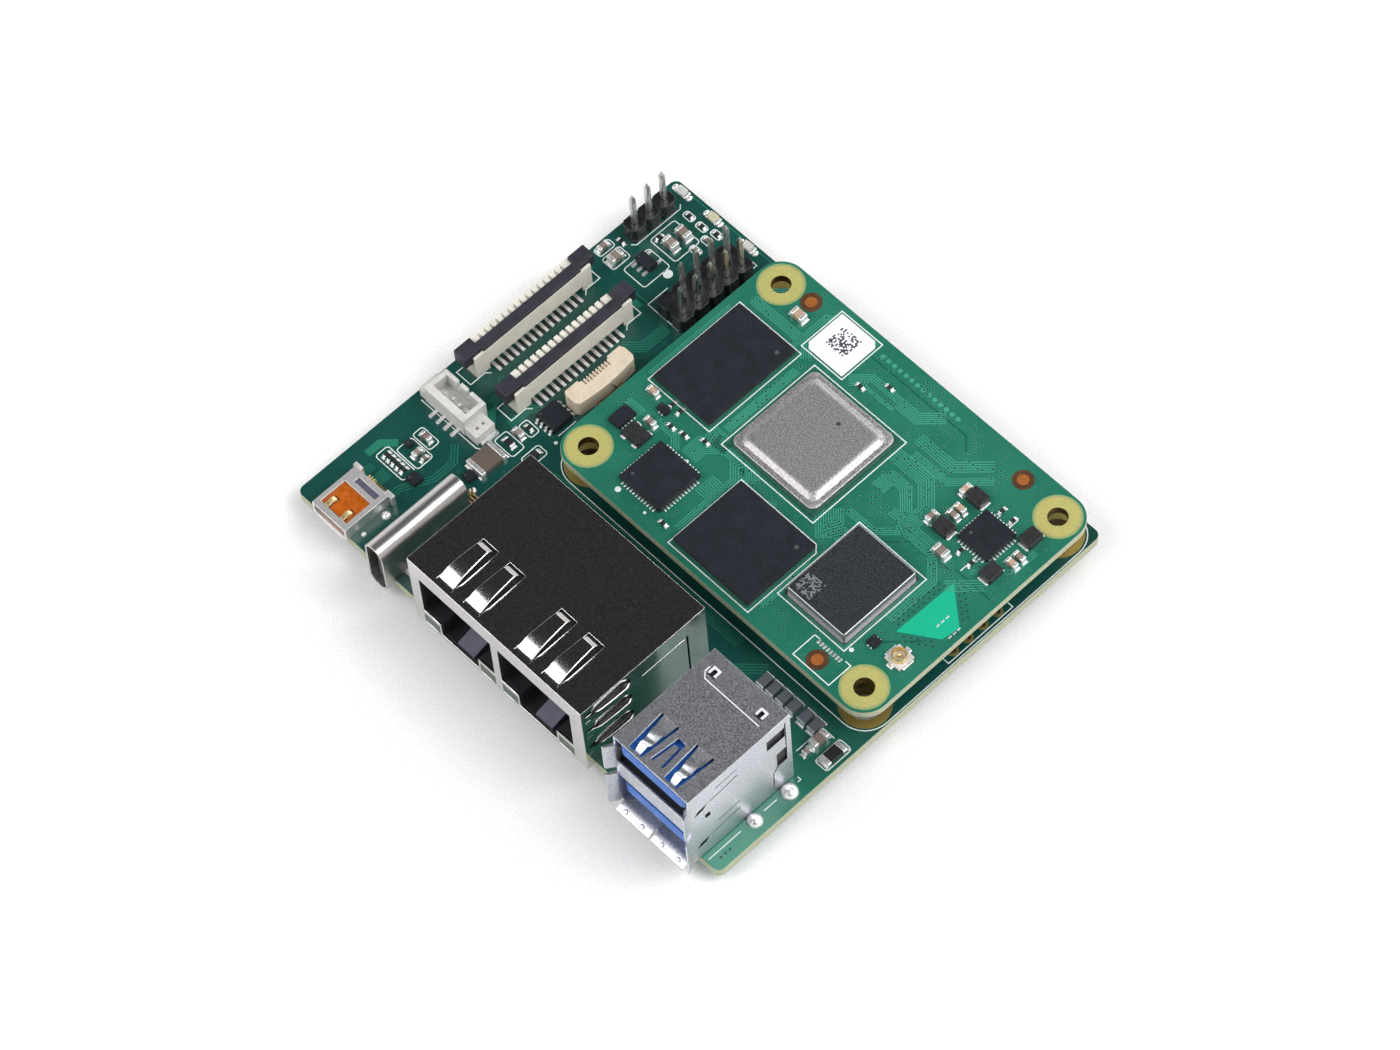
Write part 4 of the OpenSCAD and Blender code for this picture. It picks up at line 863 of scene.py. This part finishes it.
def make_vias():
    """Small plated holes over both boards, clear of the parts."""
    areas = keep_out(MODULE_PARTS, 0.45) + squares(bolt_centres(), 3.6) + squares(fiducial_centres(), 1.6)
    areas.append((30.8, 3.2, 37, 13.6))
    inset = 0.8
    box = (MOD_LO.x + inset, MOD_LO.y + inset, MOD_HI.x - inset, MOD_HI.y - inset)
    scatter_vias("module_vias", "compute_module", box, 430, areas, MOD_TOP, MODULE_COPPER)
    areas = keep_out(CARRIER_PARTS, 0.5) + [(-16, -8, 37.5, 32.4)]
    box = (-HALF_W + inset, -HALF_D + inset, HALF_W - inset, HALF_D - inset)
    scatter_vias("carrier_vias", "carrier", box, 150, areas, BOARD_T, COPPER_UNDER)


MODULE_PARTS = ["processor_base", "memory_chip", "storage_chip", "radio_frame", "network_chip", "supply_chip",
                "power_inductors", "clock_crystal", "switch_chips", "aerial_socket_base", "module_capacitors",
                "module_resistors", "module_label"]
CARRIER_PARTS = ["ethernet_shield", "usb_shell", "power_socket_shell", "display_socket_shell",
                 "camera_cable_socket", "panel_cable_socket", "fan_socket", "ribbon_socket",
                 "short_header_base", "long_header_base", "status_lights", "interface_chip",
                 "regulator_chips", "power_fuse", "filter_chips", "chip_capacitors", "chip_resistors"]


# ---------------------------------------------------------------- small parts

def chip_parts(node, name, bodies, end_share=0.27):
    """Two-ended chips: a ceramic body, metal ends, pads and the solder that climbs them."""
    shape = Shape()
    for number, (lo, hi) in enumerate(islands(node)):
        along = 0 if hi.x - lo.x > hi.y - lo.y else 1
        end = (hi[along] - lo[along]) * end_share
        shrink = Vector((0.02, 0.02, 0.02))
        shrink[along] = 0.04
        shape.block(lo + shrink, hi - shrink, 0.04, mat=1 + number % len(bodies))
        for sign in (-1, 1):
            cap_lo, cap_hi = lo.copy(), hi.copy()
            if sign < 0:
                cap_hi[along] = lo[along] + end
            else:
                cap_lo[along] = hi[along] - end
            shape.block(cap_lo, cap_hi, min(0.09, end * 0.35), steps=3)
            solder_foot(shape, cap_lo, cap_hi, along, sign)
    shape.stand_in(name, [TIN, *bodies], node)


PAD_SINK = 0.018


def solder_foot(shape, lo, hi, along, sign):
    """The pad in front of a chip's end and the solder that slopes up to it."""
    reach = 0.32
    face = hi[along] if sign > 0 else lo[along]
    across = 1 - along
    rise = min(0.55 * (hi.z - lo.z), 0.5)
    rows = []
    for out, up in ((0.0, rise), (0.25, rise * 0.45), (0.6, rise * 0.15), (1.0, 0.03)):
        row = []
        for side, climb in ((lo[across] - 0.03, 0), (lo[across] + 0.08, up), (hi[across] - 0.08, up),
                            (hi[across] + 0.03, 0)):
            p = [0, 0, lo.z - PAD_SINK + climb]
            p[along] = face + sign * (out * reach - 0.03)
            p[across] = side
            row.append(tuple(p))
        rows.append(row)
    shape.loft(rows)


def package(shape, lo, hi, draft):
    """A moulded chip body: sides that lean in above and below the parting line."""
    mid = lo.z + (hi.z - lo.z) * 0.5
    sides = ((lo.z, draft * 0.6), (mid, 0.0), (mid + 0.02, 0.0), (hi.z - 0.03, draft * 0.8),
             (hi.z, draft + 0.04))
    shape.loft([pulled_in(lo, hi, back, 0.06, 3, z) for z, back in sides])


def pin_one(shape, x, y, z, r, mat):
    """Round mark by a chip's first contact."""
    shape.prism(arc(x, y, r, 0, 345, 15), z - 0.01, z + 0.006, mat)


def edge_pads(shape, lo, hi, count, pitch, mat, length=0.34, wide=0.24, sides="xXyY"):
    """Solder lands that reach out from under the sides of a leadless package."""
    mid = (lo + hi) / 2
    z = lo.z - PAD_SINK
    under = 0.1
    reach = (length - under) / 2
    for i in range(count):
        s = (i - (count - 1) / 2) * pitch
        lands = {"x": (lo.x - reach, mid.y + s, length, wide), "X": (hi.x + reach, mid.y + s, length, wide),
                 "y": (mid.x + s, lo.y - reach, wide, length), "Y": (mid.x + s, hi.y + reach, wide, length)}
        for key in sides:
            x, y, w, d = lands[key]
            shape.block((x - w / 2, y - d / 2, z), (x + w / 2, y + d / 2, z + 0.14), 0.05, mat=mat)


def wide_way(lo, hi):
    """Whether a part is longer along x than along y."""
    return hi.x - lo.x > hi.y - lo.y


def make_two_ended_chips():
    chip_parts("chip_capacitors", "carrier_capacitors", [BROWN, TAUPE])
    chip_parts("chip_resistors", "carrier_resistors", [RESISTOR], 0.2)
    chip_parts("module_capacitors", "module_capacitor_chips", [PEACH, BROWN])
    chip_parts("module_resistors", "module_resistor_chips", [RESISTOR], 0.2)
    chip_parts("filter_chips", "filter_chip_row", [FERRITE], 0.06)
    chip_parts("power_fuse", "power_fuse_chip", [FUSE], 0.16)


def make_memory(node):
    """Moulded package on its thin green substrate."""
    lo, hi = measure(node)
    base = lo.z + 0.22
    shape = Shape()
    shape.block((lo.x, lo.y, lo.z - 0.02), (hi.x, hi.y, base), 0.03, 0.1, mat=1)
    shape.block((lo.x + 0.01, lo.y + 0.01, base), (hi.x - 0.01, hi.y - 0.01, hi.z), 0.05, 0.1, steps=3)
    pin_one(shape, hi.x - 1.4, hi.y - 1.9, hi.z, 0.3, 2)
    shape.stand_in(node + "_package", [EPOXY, SUBSTRATE, MARK], node)


def make_leadless(node, count):
    """Leadless package with lands on all four sides."""
    lo, hi = measure(node)
    shape = Shape()
    shape.block(lo, hi, 0.04, 0.05)
    pin_one(shape, lo.x + 1.0, lo.y + 1.3, hi.z, 0.22, 2)
    edge_pads(shape, lo, hi, count, 0.5, 1, 0.5)
    shape.stand_in(node + "_package", [EPOXY, TIN, MARK], node)


def make_switch_chips():
    shape = Shape()
    for lo, hi in islands("switch_chips"):
        package(shape, lo, hi, 0.05)
        count = max(2, int((max(hi.x - lo.x, hi.y - lo.y) - 0.3) / 0.5))
        sides = "xX" if hi.x - lo.x < hi.y - lo.y else "yY"
        edge_pads(shape, lo, hi, count, 0.5, 1, length=0.24, sides=sides)
        pin_one(shape, lo.x + 0.35, hi.y - 0.35, hi.z, 0.1, 2)
    shape.stand_in("module_switch_packages", [EPOXY, TIN, MARK], "switch_chips")


def make_inductors():
    shape = Shape()
    for lo, hi in islands("power_inductors"):
        shape.block(lo, hi, 0.1, 0.22, steps=3)
        across, sides = (hi.y - lo.y, "xX") if wide_way(lo, hi) else (hi.x - lo.x, "yY")
        edge_pads(shape, lo, hi, 1, 0.5, 1, wide=across * 0.8, sides=sides)
    shape.stand_in("power_inductor_bodies", [DARK_LEAD, TIN], "power_inductors")


def make_carrier_chips():
    nodes = ("regulator_chips", "interface_chip")
    shape = Shape()
    for node in nodes:
        for lo, hi in islands(node):
            package(shape, lo, hi, 0.1)
            pin_one(shape, lo.x + 0.45, lo.y + 0.4, hi.z, 0.14, 1)
    shape.piece("carrier_chip_packages", [EPOXY, MARK], "carrier", nodes)
    from_cad("chip_leads", TIN, 0.03)


def make_crystal():
    """Clock crystal: a dark can on a ceramic base with four lands."""
    lo, hi = measure("clock_crystal")
    base = lo.z + 0.35
    shape = Shape()
    shape.block(lo, (hi.x, hi.y, base), 0.04, 0.15, mat=1)
    shape.block((lo.x + 0.12, lo.y + 0.12, base), (hi.x - 0.12, hi.y - 0.12, hi.z), 0.06, 0.3, steps=3)
    edge_pads(shape, lo, hi, 2, 1.9, 2, wide=0.8, sides="yY")
    shape.stand_in("clock_crystal_can", [DARK_LEAD, RESISTOR, TIN], "clock_crystal")


def make_lights():
    """Small lights: a base, a cast lens, two metal ends and the solder beside them."""
    shape = Shape()
    for number, (lo, hi) in enumerate(islands("status_lights")):
        lens = 2 if number == 1 else 0
        shape.block((lo.x + 0.3, lo.y + 0.04, lo.z), (hi.x - 0.3, hi.y - 0.04, lo.z + 0.28), 0.03, 0.05)
        shape.block((lo.x + 0.42, lo.y + 0.02, lo.z + 0.26), (hi.x - 0.42, hi.y - 0.02, hi.z), 0.14, 0.16,
                    mat=lens, steps=4)
        for x0, x1, x in ((lo.x, lo.x + 0.34, lo.x - 0.3), (hi.x - 0.34, hi.x, hi.x + 0.3)):
            shape.block((x0, lo.y, lo.z - 0.015), (x1, hi.y, lo.z + 0.3), 0.08, 0.12, mat=1, steps=3)
            shape.dome((x, (lo.y + hi.y) / 2), 0.34, BOARD_T, 0.25, 1, waist=1.5)
    shape.stand_in("status_light_lenses", [WHITE_LAMP, TIN, YELLOW_LAMP], "status_lights")


def make_processor():
    """Processor: its green base and a lid stamped with a flat flange round a raised crown."""
    from_cad("processor_base", SUBSTRATE, 0.04)
    lo, hi = measure("processor_lid")
    flange = 0.42
    crown = hi.z - lo.z
    # distance in from the edge, height and corner radius, from the foot up to the flat top
    profile = [(0.06, 0.0, 1.0), (0.0, 0.06, 1.06), (0.0, flange - 0.14, 1.06),
               (0.04, flange - 0.05, 1.05), (0.14, flange, 1.0), (0.62, flange + 0.01, 1.1),
               (0.78, flange + 0.05, 1.1), (0.92, flange + 0.14, 1.1), (1.22, crown - 0.16, 1.1),
               (1.42, crown - 0.06, 1.0), (1.7, crown - 0.015, 0.9), (2.0, crown, 0.8)]
    shape = Shape()
    shape.loft([pulled_in(lo, hi, back, corner, 6, lo.z + up) for back, up, corner in profile])
    pin_one(shape, *on_module(-3.7, 6.6), hi.z, 0.3, 1)
    shape.stand_in("processor_lid_stamped", [NICKEL, DOTS], "processor_lid", soften=70)


CODE_CELLS = 14


def make_radio():
    """Radio can with a random square code on its dark top, and the frame it snaps onto."""
    lo, hi = measure("radio_shield")
    shape = Shape()
    sides = ((0.0, lo.z), (0.0, hi.z - 0.3), (0.03, hi.z - 0.12), (0.1, hi.z - 0.03), (0.25, hi.z))
    shape.loft([pulled_in(lo, hi, back, 0.3, 4, z) for back, z in sides])
    # the sides take the dimmed metal: painted reflection of the board
    for face in shape.bm.faces:
        face.material_index = 1 if len(face.verts) > 8 else 0
    shape.cells(*on_module(8.75, -13.35), hi.z, hi.z + 0.005, CODE_CELLS, 0.2, 0.5, 2)
    shape.stand_in("radio_can", [CAN_SIDE, CAN, CODE_GREY], "radio_shield")
    shape = Shape()
    lo, hi = measure("radio_frame")
    path = round_rect(lo.x + 0.3, lo.y + 0.3, hi.x - 0.3, hi.y - 0.3, 0.25, 3)
    shape.ribbon(path, 0.6, lo.z, hi.z, 0, True)
    shape.stand_in("radio_can_frame", CAN_SIDE, "radio_frame")


def make_fiducials():
    shape = Shape()
    rim = MOD_TOP + 0.03
    for centre in fiducial_centres():
        shape.lathe([(0.78, MOD_TOP), (1.42, MOD_TOP), (1.42, rim), (0.78, rim)], centre, 32, 1)
        shape.prism(arc(*centre, 0.78, 0, 352, 40), MOD_TOP, MOD_TOP + 0.04)
    shape.piece("fiducial_marks", [COPPER, RING_SHADE], "compute_module")


def make_label():
    """Sticker with two cut corners and a random square code."""
    lo, hi = measure("module_label")
    cut = 0.7
    outline = [(lo.x + cut, lo.y), (hi.x, lo.y), (hi.x, hi.y - cut), (hi.x - cut, hi.y), (lo.x, hi.y),
               (lo.x, lo.y + cut)]
    shape = Shape()
    shape.prism(outline, lo.z, hi.z)
    shape.cells(lo.x + 1.5, lo.y + 2.1, hi.z, hi.z + 0.006, CODE_CELLS, 0.23, 0.46, 1)
    shape.stand_in("module_label_sticker", [PAPER, DOTS], "module_label")


def make_aerial_socket():
    """Coaxial aerial socket: base with four metal feet, ring and centre pin."""
    lo, hi = measure("aerial_socket_base")
    mid = (lo + hi) / 2
    base = MOD_TOP + 0.3
    shape = Shape()
    shape.block(lo, hi, 0.05, 0.1, mat=1)
    for dx, dy, w, d in ((-1.35, 0, 0.5, 1.8), (1.35, 0, 0.5, 1.8), (0, -1.55, 0.9, 0.6), (0, 1.5, 0.9, 0.5)):
        x, y = mid.x + dx, mid.y + dy
        shape.block((x - w / 2, y - d / 2, MOD_TOP), (x + w / 2, y + d / 2, base), 0.08)
    shape.stand_in("aerial_socket_body", [TIN, IVORY], "aerial_socket_base")
    lo, hi = measure("aerial_socket_ring")
    mid = (lo + hi) / 2
    top = hi.z
    shape = Shape()
    shape.lathe([(0.8, base), (1.05, base), (1.0, base + 0.15), (0.94, base + 0.35), (1.0, top - 0.12),
                 (0.97, top), (0.86, top), (0.8, top - 0.1)], (mid.x, mid.y), 36)
    shape.lathe([(0.0001, base), (0.24, base), (0.24, top - 0.3), (0.12, top - 0.15), (0.0001, top - 0.12)],
                (mid.x, mid.y), 20)
    shape.stand_in("aerial_socket_contact", SOFT_GOLD, "aerial_socket_ring")


def make_open_lands():
    """Bare tinned lands of the module: a row of eight and two short columns by the aerial."""
    shape = Shape()
    for i in range(8):
        x, y = on_module(15.7 + i * 0.52, -15.95)
        shape.block((x - 0.15, y - 0.3, MOD_TOP), (x + 0.15, y + 0.3, MOD_TOP + 0.05), 0.02)
    for x, y in ((24.3, -2.8), (24.3, -3.6), (24.3, -4.4), (26.45, -3.0), (26.45, -3.75), (26.45, -4.5)):
        x, y = on_module(x, y)
        shape.block((x - 0.1, y - 0.26, MOD_TOP), (x + 0.1, y + 0.26, MOD_TOP + 0.04), 0.02)
    shape.piece("module_open_lands", TIN, "compute_module")


# ---------------------------------------------------------------- sockets

USB_RELIEF = 0.045


def display_spring_reflection(face):
    """Springs of the display shell are painted the amber of the film below them: a painted reflection."""
    return 1 if all(-32.9 < p.x < -28.6 and -32.2 < p.y < -28.1 for p in spots(face)) else 0


USB_LO, USB_HI = measure("usb_shell")
USB_MID = 28.3


def slot_shade_faces(face):
    """Cut edges of the slots in the upright walls of the stacked socket's shell, painted black as painted
    shade in the slots.
    """
    if abs(face.normal.x) > 0.5:
        return 0
    for p in spots(face):
        beside = min(p.x - USB_LO.x, USB_HI.x - p.x) < 1.2
        if not (beside and p.z < USB_HI.z - 0.8 and -33.4 < p.y < USB_HI.y - 0.4):
            return 0
    return 1


# node, materials, edge radius and bevel steps of the parts that keep the CAD's own shape
PLAIN_PARTS = [
    ("ethernet_shield", MIRROR, 0.07, 2),
    ("ethernet_housing", PORT, 0.06, 2),
    ("ethernet_contacts", BRIGHT_GOLD, 0.03, 1),
    ("ethernet_light_pipes", PIPE, 0.12, 3),
    ("ethernet_magnetics", BLACK, 0.1, 2),
    ("usb_housing", BLACK, 0.08, 2),
    ("usb_tongues", BLUE, 0.08, 2),
    ("usb_contacts", BRIGHT_GOLD, 0.03, 1),
    ("power_socket_shell", BRUSHED, 0.05, 2),
    ("power_socket_core", BLACK, 0.04, 2),
    ("power_socket_contacts", BRIGHT_GOLD, 0.02, 1),
    ("display_socket_core", AMBER, 0.04, 2),
    ("display_socket_contacts", BRIGHT_GOLD, 0.015, 1),
    ("camera_cable_latch", NAVY, 0.1, 3),
    ("panel_cable_latch", NAVY, 0.1, 3),
    ("flat_cable_contacts", TIN, 0.04, 2),
    ("fan_socket", IVORY, 0.09, 3),
    ("fan_pins", TIN, 0.05, 2),
    ("ribbon_socket", BISQUE, 0.08, 2),
    ("ribbon_contacts", BRIGHT_GOLD, 0.02, 1),
    ("short_header_base", HEADER, 0.1, 2),
    ("long_header_base", HEADER, 0.1, 2),
    ("card_socket_base", BLACK, 0.04, 1),
    ("card_socket_cover", STEEL, 0.05, 2),
    ("board_receptacles", BLACK, 0.08, 2),
    ("module_plugs", BLACK, 0.08, 2),
]


def make_sockets():
    """Sockets, headers and latches in the CAD's own shapes."""
    for node, material, edge, steps in PLAIN_PARTS:
        from_cad(node, material, edge, steps)
    # the shell's slot edges take BLACK: painted shade in the thin slots
    from_cad("usb_shell", [STEEL, BLACK], 0.05, 2, slot_shade_faces, shortest=3.8, merge=False, sink=USB_RELIEF)
    # display springs in SOFT_GOLD: painted reflection of the amber film below them
    from_cad("display_socket_shell", [DISPLAY_STEEL, SOFT_GOLD], 0.05, 2, display_spring_reflection)
    for node in ("camera_cable_socket", "panel_cable_socket"):
        from_cad(node, SAND, 0.04, 2, shortest=1.3, merge=False)


def make_display_bed():
    """Filler behind the display socket's core."""
    core_top = measure("display_socket_core")[1].z
    shape = Shape()
    shape.block((-32.2, -27.35, core_top - 0.2), (-28.35, -26.4, core_top + 0.05), 0.02)
    shape.piece("display_rear_bed", SLATE, "carrier")


def make_power_heel():
    """Dark moulding that holds the power socket's legs where they leave its back."""
    hi = measure("power_socket_contacts")[1]
    back = measure("power_socket_shell")[1].y
    shape = Shape()
    shape.block((hi.x - 1.45, back + 0.1, BOARD_T + 0.28), (hi.x - 0.15, hi.y + 0.1, BOARD_T + 1.3), 0.08,
                steps=3)
    for i in range(4):
        y = back + 0.275 + i * 0.5
        shape.block((hi.x - 1.5, y - 0.09, BOARD_T + 1.2), (hi.x - 0.12, y + 0.09, BOARD_T + 1.36), 0.03,
                    mat=1)
    shape.piece("power_socket_heel", [BLACK, SOFT_GOLD], "carrier")


def make_contact_shade_blocks():
    """Black blocks of painted shade between the contact feet of the flat cable sockets, where the housing's
    shadow falls.
    """
    shape = Shape()
    feet = islands("flat_cable_contacts")
    for (_, hi), (after_lo, _) in zip(feet, feet[1:]):
        if 0 < after_lo.y - hi.y < 1.2:
            shape.block((hi.x - 1.25, hi.y + 0.03, BOARD_T),
                        (hi.x - 0.3, after_lo.y - 0.03, BOARD_T + 0.2), 0.03)
    # black blocks standing for the housing's shadow: painted shade
    shape.piece("flat_cable_painted_shade", BLACK, "carrier")


PORT_MIDS = (-5.9, 7.95)


def make_port_ramps():
    """Sloping stop in the latch notch of each network port."""
    shape = Shape()
    foot = 2.3
    front_y, front_z = -33.3, 2.7
    back_y, back_z = -29.4, 3.9
    section = ((front_y, foot), (front_y, front_z), (back_y, back_z), (back_y, foot))
    for port in PORT_MIDS:
        x0, x1 = port - 1.0, port + 1.9
        shape.loft([[(x, y, z) for y, z in section] for x in (x0, x0 + 0.15, x1 - 0.15, x1)])
    shape.piece("network_port_ramps", SLATE, "carrier")


def make_usb_embossing():
    """Raised line, punched tabs and lip bumps of the stacked socket's shell: real raised shapes, in brighter
    materials than the shell's steel as painted highlights.
    """
    top = USB_HI.z
    low = top - 0.1
    mid = USB_MID
    shape = Shape()
    line = [(mid - 4.9, -19.2), (mid - 4.9, -20), (mid - 4.2, -20.75), (mid + 4.9, -20.75)]
    shape.ribbon(line, 0.13, low, top)
    for x in (mid - 3.95, mid + 3.95):
        tab = [(x - 0.45, -19.9), (x - 0.45, -18.9), (x + 0.45, -18.9), (x + 0.45, -19.9)]
        shape.ribbon(tab, 0.3, low, top)
    # the ridges take the near-white material: painted highlight
    shape.piece("usb_shell_embossing", RAISED_HIGHLIGHT, "carrier")
    shape = Shape()
    # lip bumps in bright tin rather than the shell's steel: painted highlights on real bumps
    for x in (-4.5, -1.7, 1.7, 4.5):
        shape.dome((mid + x, -34.35), 0.72, 1.1, 0.6, waist=0.8)
    shape.piece("usb_lip_bumps", TIN, "carrier")


def make_pins():
    """Square header pins with four-sided tips at both ends."""
    for node in ("short_header_pins", "long_header_pins"):
        shape = Shape()
        for lo, hi in islands(node):
            levels = ((lo.z, 0.2), (lo.z + 0.5, 0.0), (hi.z - 0.8, 0.0), (hi.z - 0.12, 0.2), (hi.z, 0.25))
            shape.loft([pulled_in(lo, hi, back, 0.05, 2, z) for z, back in levels])
        shape.stand_in(node + "_tipped", PIN_METAL, node)


# place and radius of the solder drops on top of the carrier
SOLDER_DROPS = [(15.6, -20.6, 0.75), (15.6, -29.5, 0.6), (35.75, -19, 1.15), (35.6, -24.6, 1.05),
                (-26.9, -30.8, 0.35), (-26.9, -27.1, 0.65), (-21.9, -17.2, 0.5)]


def make_solder():
    """Solder round every tail under the carrier and round the shield legs on top of it."""
    shape = Shape()
    nodes = ("short_header_pins", "long_header_pins", "ethernet_contacts", "usb_contacts")
    tails = [box for node in nodes for box in islands(node) if box[0].z < -0.5]
    for lo, hi in tails:
        mid = (lo + hi) / 2
        half = (hi.x - lo.x) / 2
        pad = half + 0.45
        cone = [(half * 0.9, -1.0), (half + 0.1, -0.75), (half + 0.2, -0.35), (pad, -0.05), (pad, 0.0),
                (half * 0.9, 0.0)]
        shape.lathe(cone, (mid.x, mid.y), 20)
    for x, y, r in SOLDER_DROPS:
        shape.dome((x, y), r, BOARD_T, r * 0.75)
    shape.piece("solder_joints", TIN, "carrier")


make_boards()
make_carrier_print()
make_module_print()
make_tracks()
make_aerial_area()
make_vias()
make_two_ended_chips()
for package_node in ("memory_chip", "storage_chip"):
    make_memory(package_node)
make_leadless("network_chip", 12)
make_leadless("supply_chip", 9)
make_switch_chips()
make_inductors()
make_carrier_chips()
make_crystal()
make_lights()
make_processor()
make_radio()
make_fiducials()
make_label()
make_aerial_socket()
make_open_lands()
make_sockets()
make_display_bed()
make_power_heel()
make_contact_shade_blocks()
make_port_ramps()
make_usb_embossing()
make_pins()
make_solder()


# ---------------------------------------------------------------- stage

def away_from(azimuth, elevation):
    """Unit vector towards a bearing: azimuth in degrees from the ports' side, turning right."""
    a, e = math.radians(azimuth), math.radians(elevation)
    return Vector((math.sin(a) * math.cos(e), -math.cos(a) * math.cos(e), math.sin(e)))


def make_stage():
    """Pale paper floor just under the lowest tails."""
    floor = Shape()
    floor.prism(round_rect(-900, -900, 900, 900, 300, 12), TAIL_Z - 4, TAIL_Z)
    floor.to_metres()
    mesh = bpy.data.meshes.new("floor")
    floor.bm.to_mesh(mesh)
    floor.bm.free()
    mesh.materials.append(ink("floor_paper", (0.93, 0.93, 0.93), 0.8))
    add_object("floor", mesh)


def make_light(name, azimuth, elevation, distance, size, power):
    """Soft rectangular light aimed at the middle of the boards."""
    data = bpy.data.lights.new(name, "AREA")
    data.shape = "RECTANGLE"
    data.size, data.size_y = size
    data.energy = power
    obj = add_object(name, data)
    away = away_from(azimuth, elevation)
    obj.location = place((0, 0, 5)) + away * distance
    obj.rotation_mode = "QUATERNION"
    obj.rotation_quaternion = (-away).to_track_quat("-Z", "Y")


def make_world():
    """Pale surroundings near the horizon that fall off to a dim ceiling."""
    world = bpy.data.worlds.new("studio")
    world.use_nodes = True
    tree = world.node_tree
    coords = tree.nodes.new("ShaderNodeTexCoord").outputs["Generated"]
    split = tree.nodes.new("ShaderNodeSeparateXYZ")
    tree.links.new(coords, split.inputs[0])
    ramp = tree.nodes.new("ShaderNodeValToRGB")
    tree.links.new(split.outputs["Z"], ramp.inputs["Fac"])
    stops = ((0.0, 1.0), (0.42, 0.95), (0.68, 0.035), (1.0, 0.03))
    while len(ramp.color_ramp.elements) < len(stops):
        ramp.color_ramp.elements.new(0.5)
    for element, (at, level) in zip(ramp.color_ramp.elements, stops):
        element.position = at
        element.color = (level, level, level, 1)
    tree.links.new(ramp.outputs["Color"], tree.nodes["Background"].inputs["Color"])
    bpy.context.scene.world = world


CAMERA_AZIMUTH = 50.912
CAMERA_ELEVATION = 59.317
CAMERA_ROLL = -5.547
CAMERA_DISTANCE = 660.47
CAMERA_TARGET = (0.879, -0.363, 0.0)
CAMERA_LENS = 138.5


def make_camera():
    """Long lens at the photo's angle."""
    away = away_from(CAMERA_AZIMUTH, CAMERA_ELEVATION)
    bearing = math.radians(CAMERA_AZIMUTH)
    level = Vector((math.cos(bearing), math.sin(bearing), 0))
    upward = away.cross(level)
    turn = math.radians(CAMERA_ROLL)
    right = level * math.cos(turn) + upward * math.sin(turn)
    up = upward * math.cos(turn) - level * math.sin(turn)
    data = bpy.data.cameras.new("camera")
    data.lens = CAMERA_LENS
    data.sensor_width = 36
    data.clip_start, data.clip_end = 0.01, 10
    obj = add_object("camera", data)
    spot = place(CAMERA_TARGET) + away * CAMERA_DISTANCE * MM
    obj.matrix_world = Matrix.Translation(spot) @ Matrix((right, up, away)).transposed().to_4x4()
    bpy.context.scene.camera = obj


make_stage()
make_world()
make_light("key", 120, 52, 0.8, (0.55, 0.55), 5.2)
make_light("fill", -25, 50, 0.85, (0.6, 0.5), 4.2)
make_light("back", 190, 28, 0.9, (0.8, 0.25), 1.6)
make_camera()
bpy.context.scene.view_settings.view_transform = "Standard"
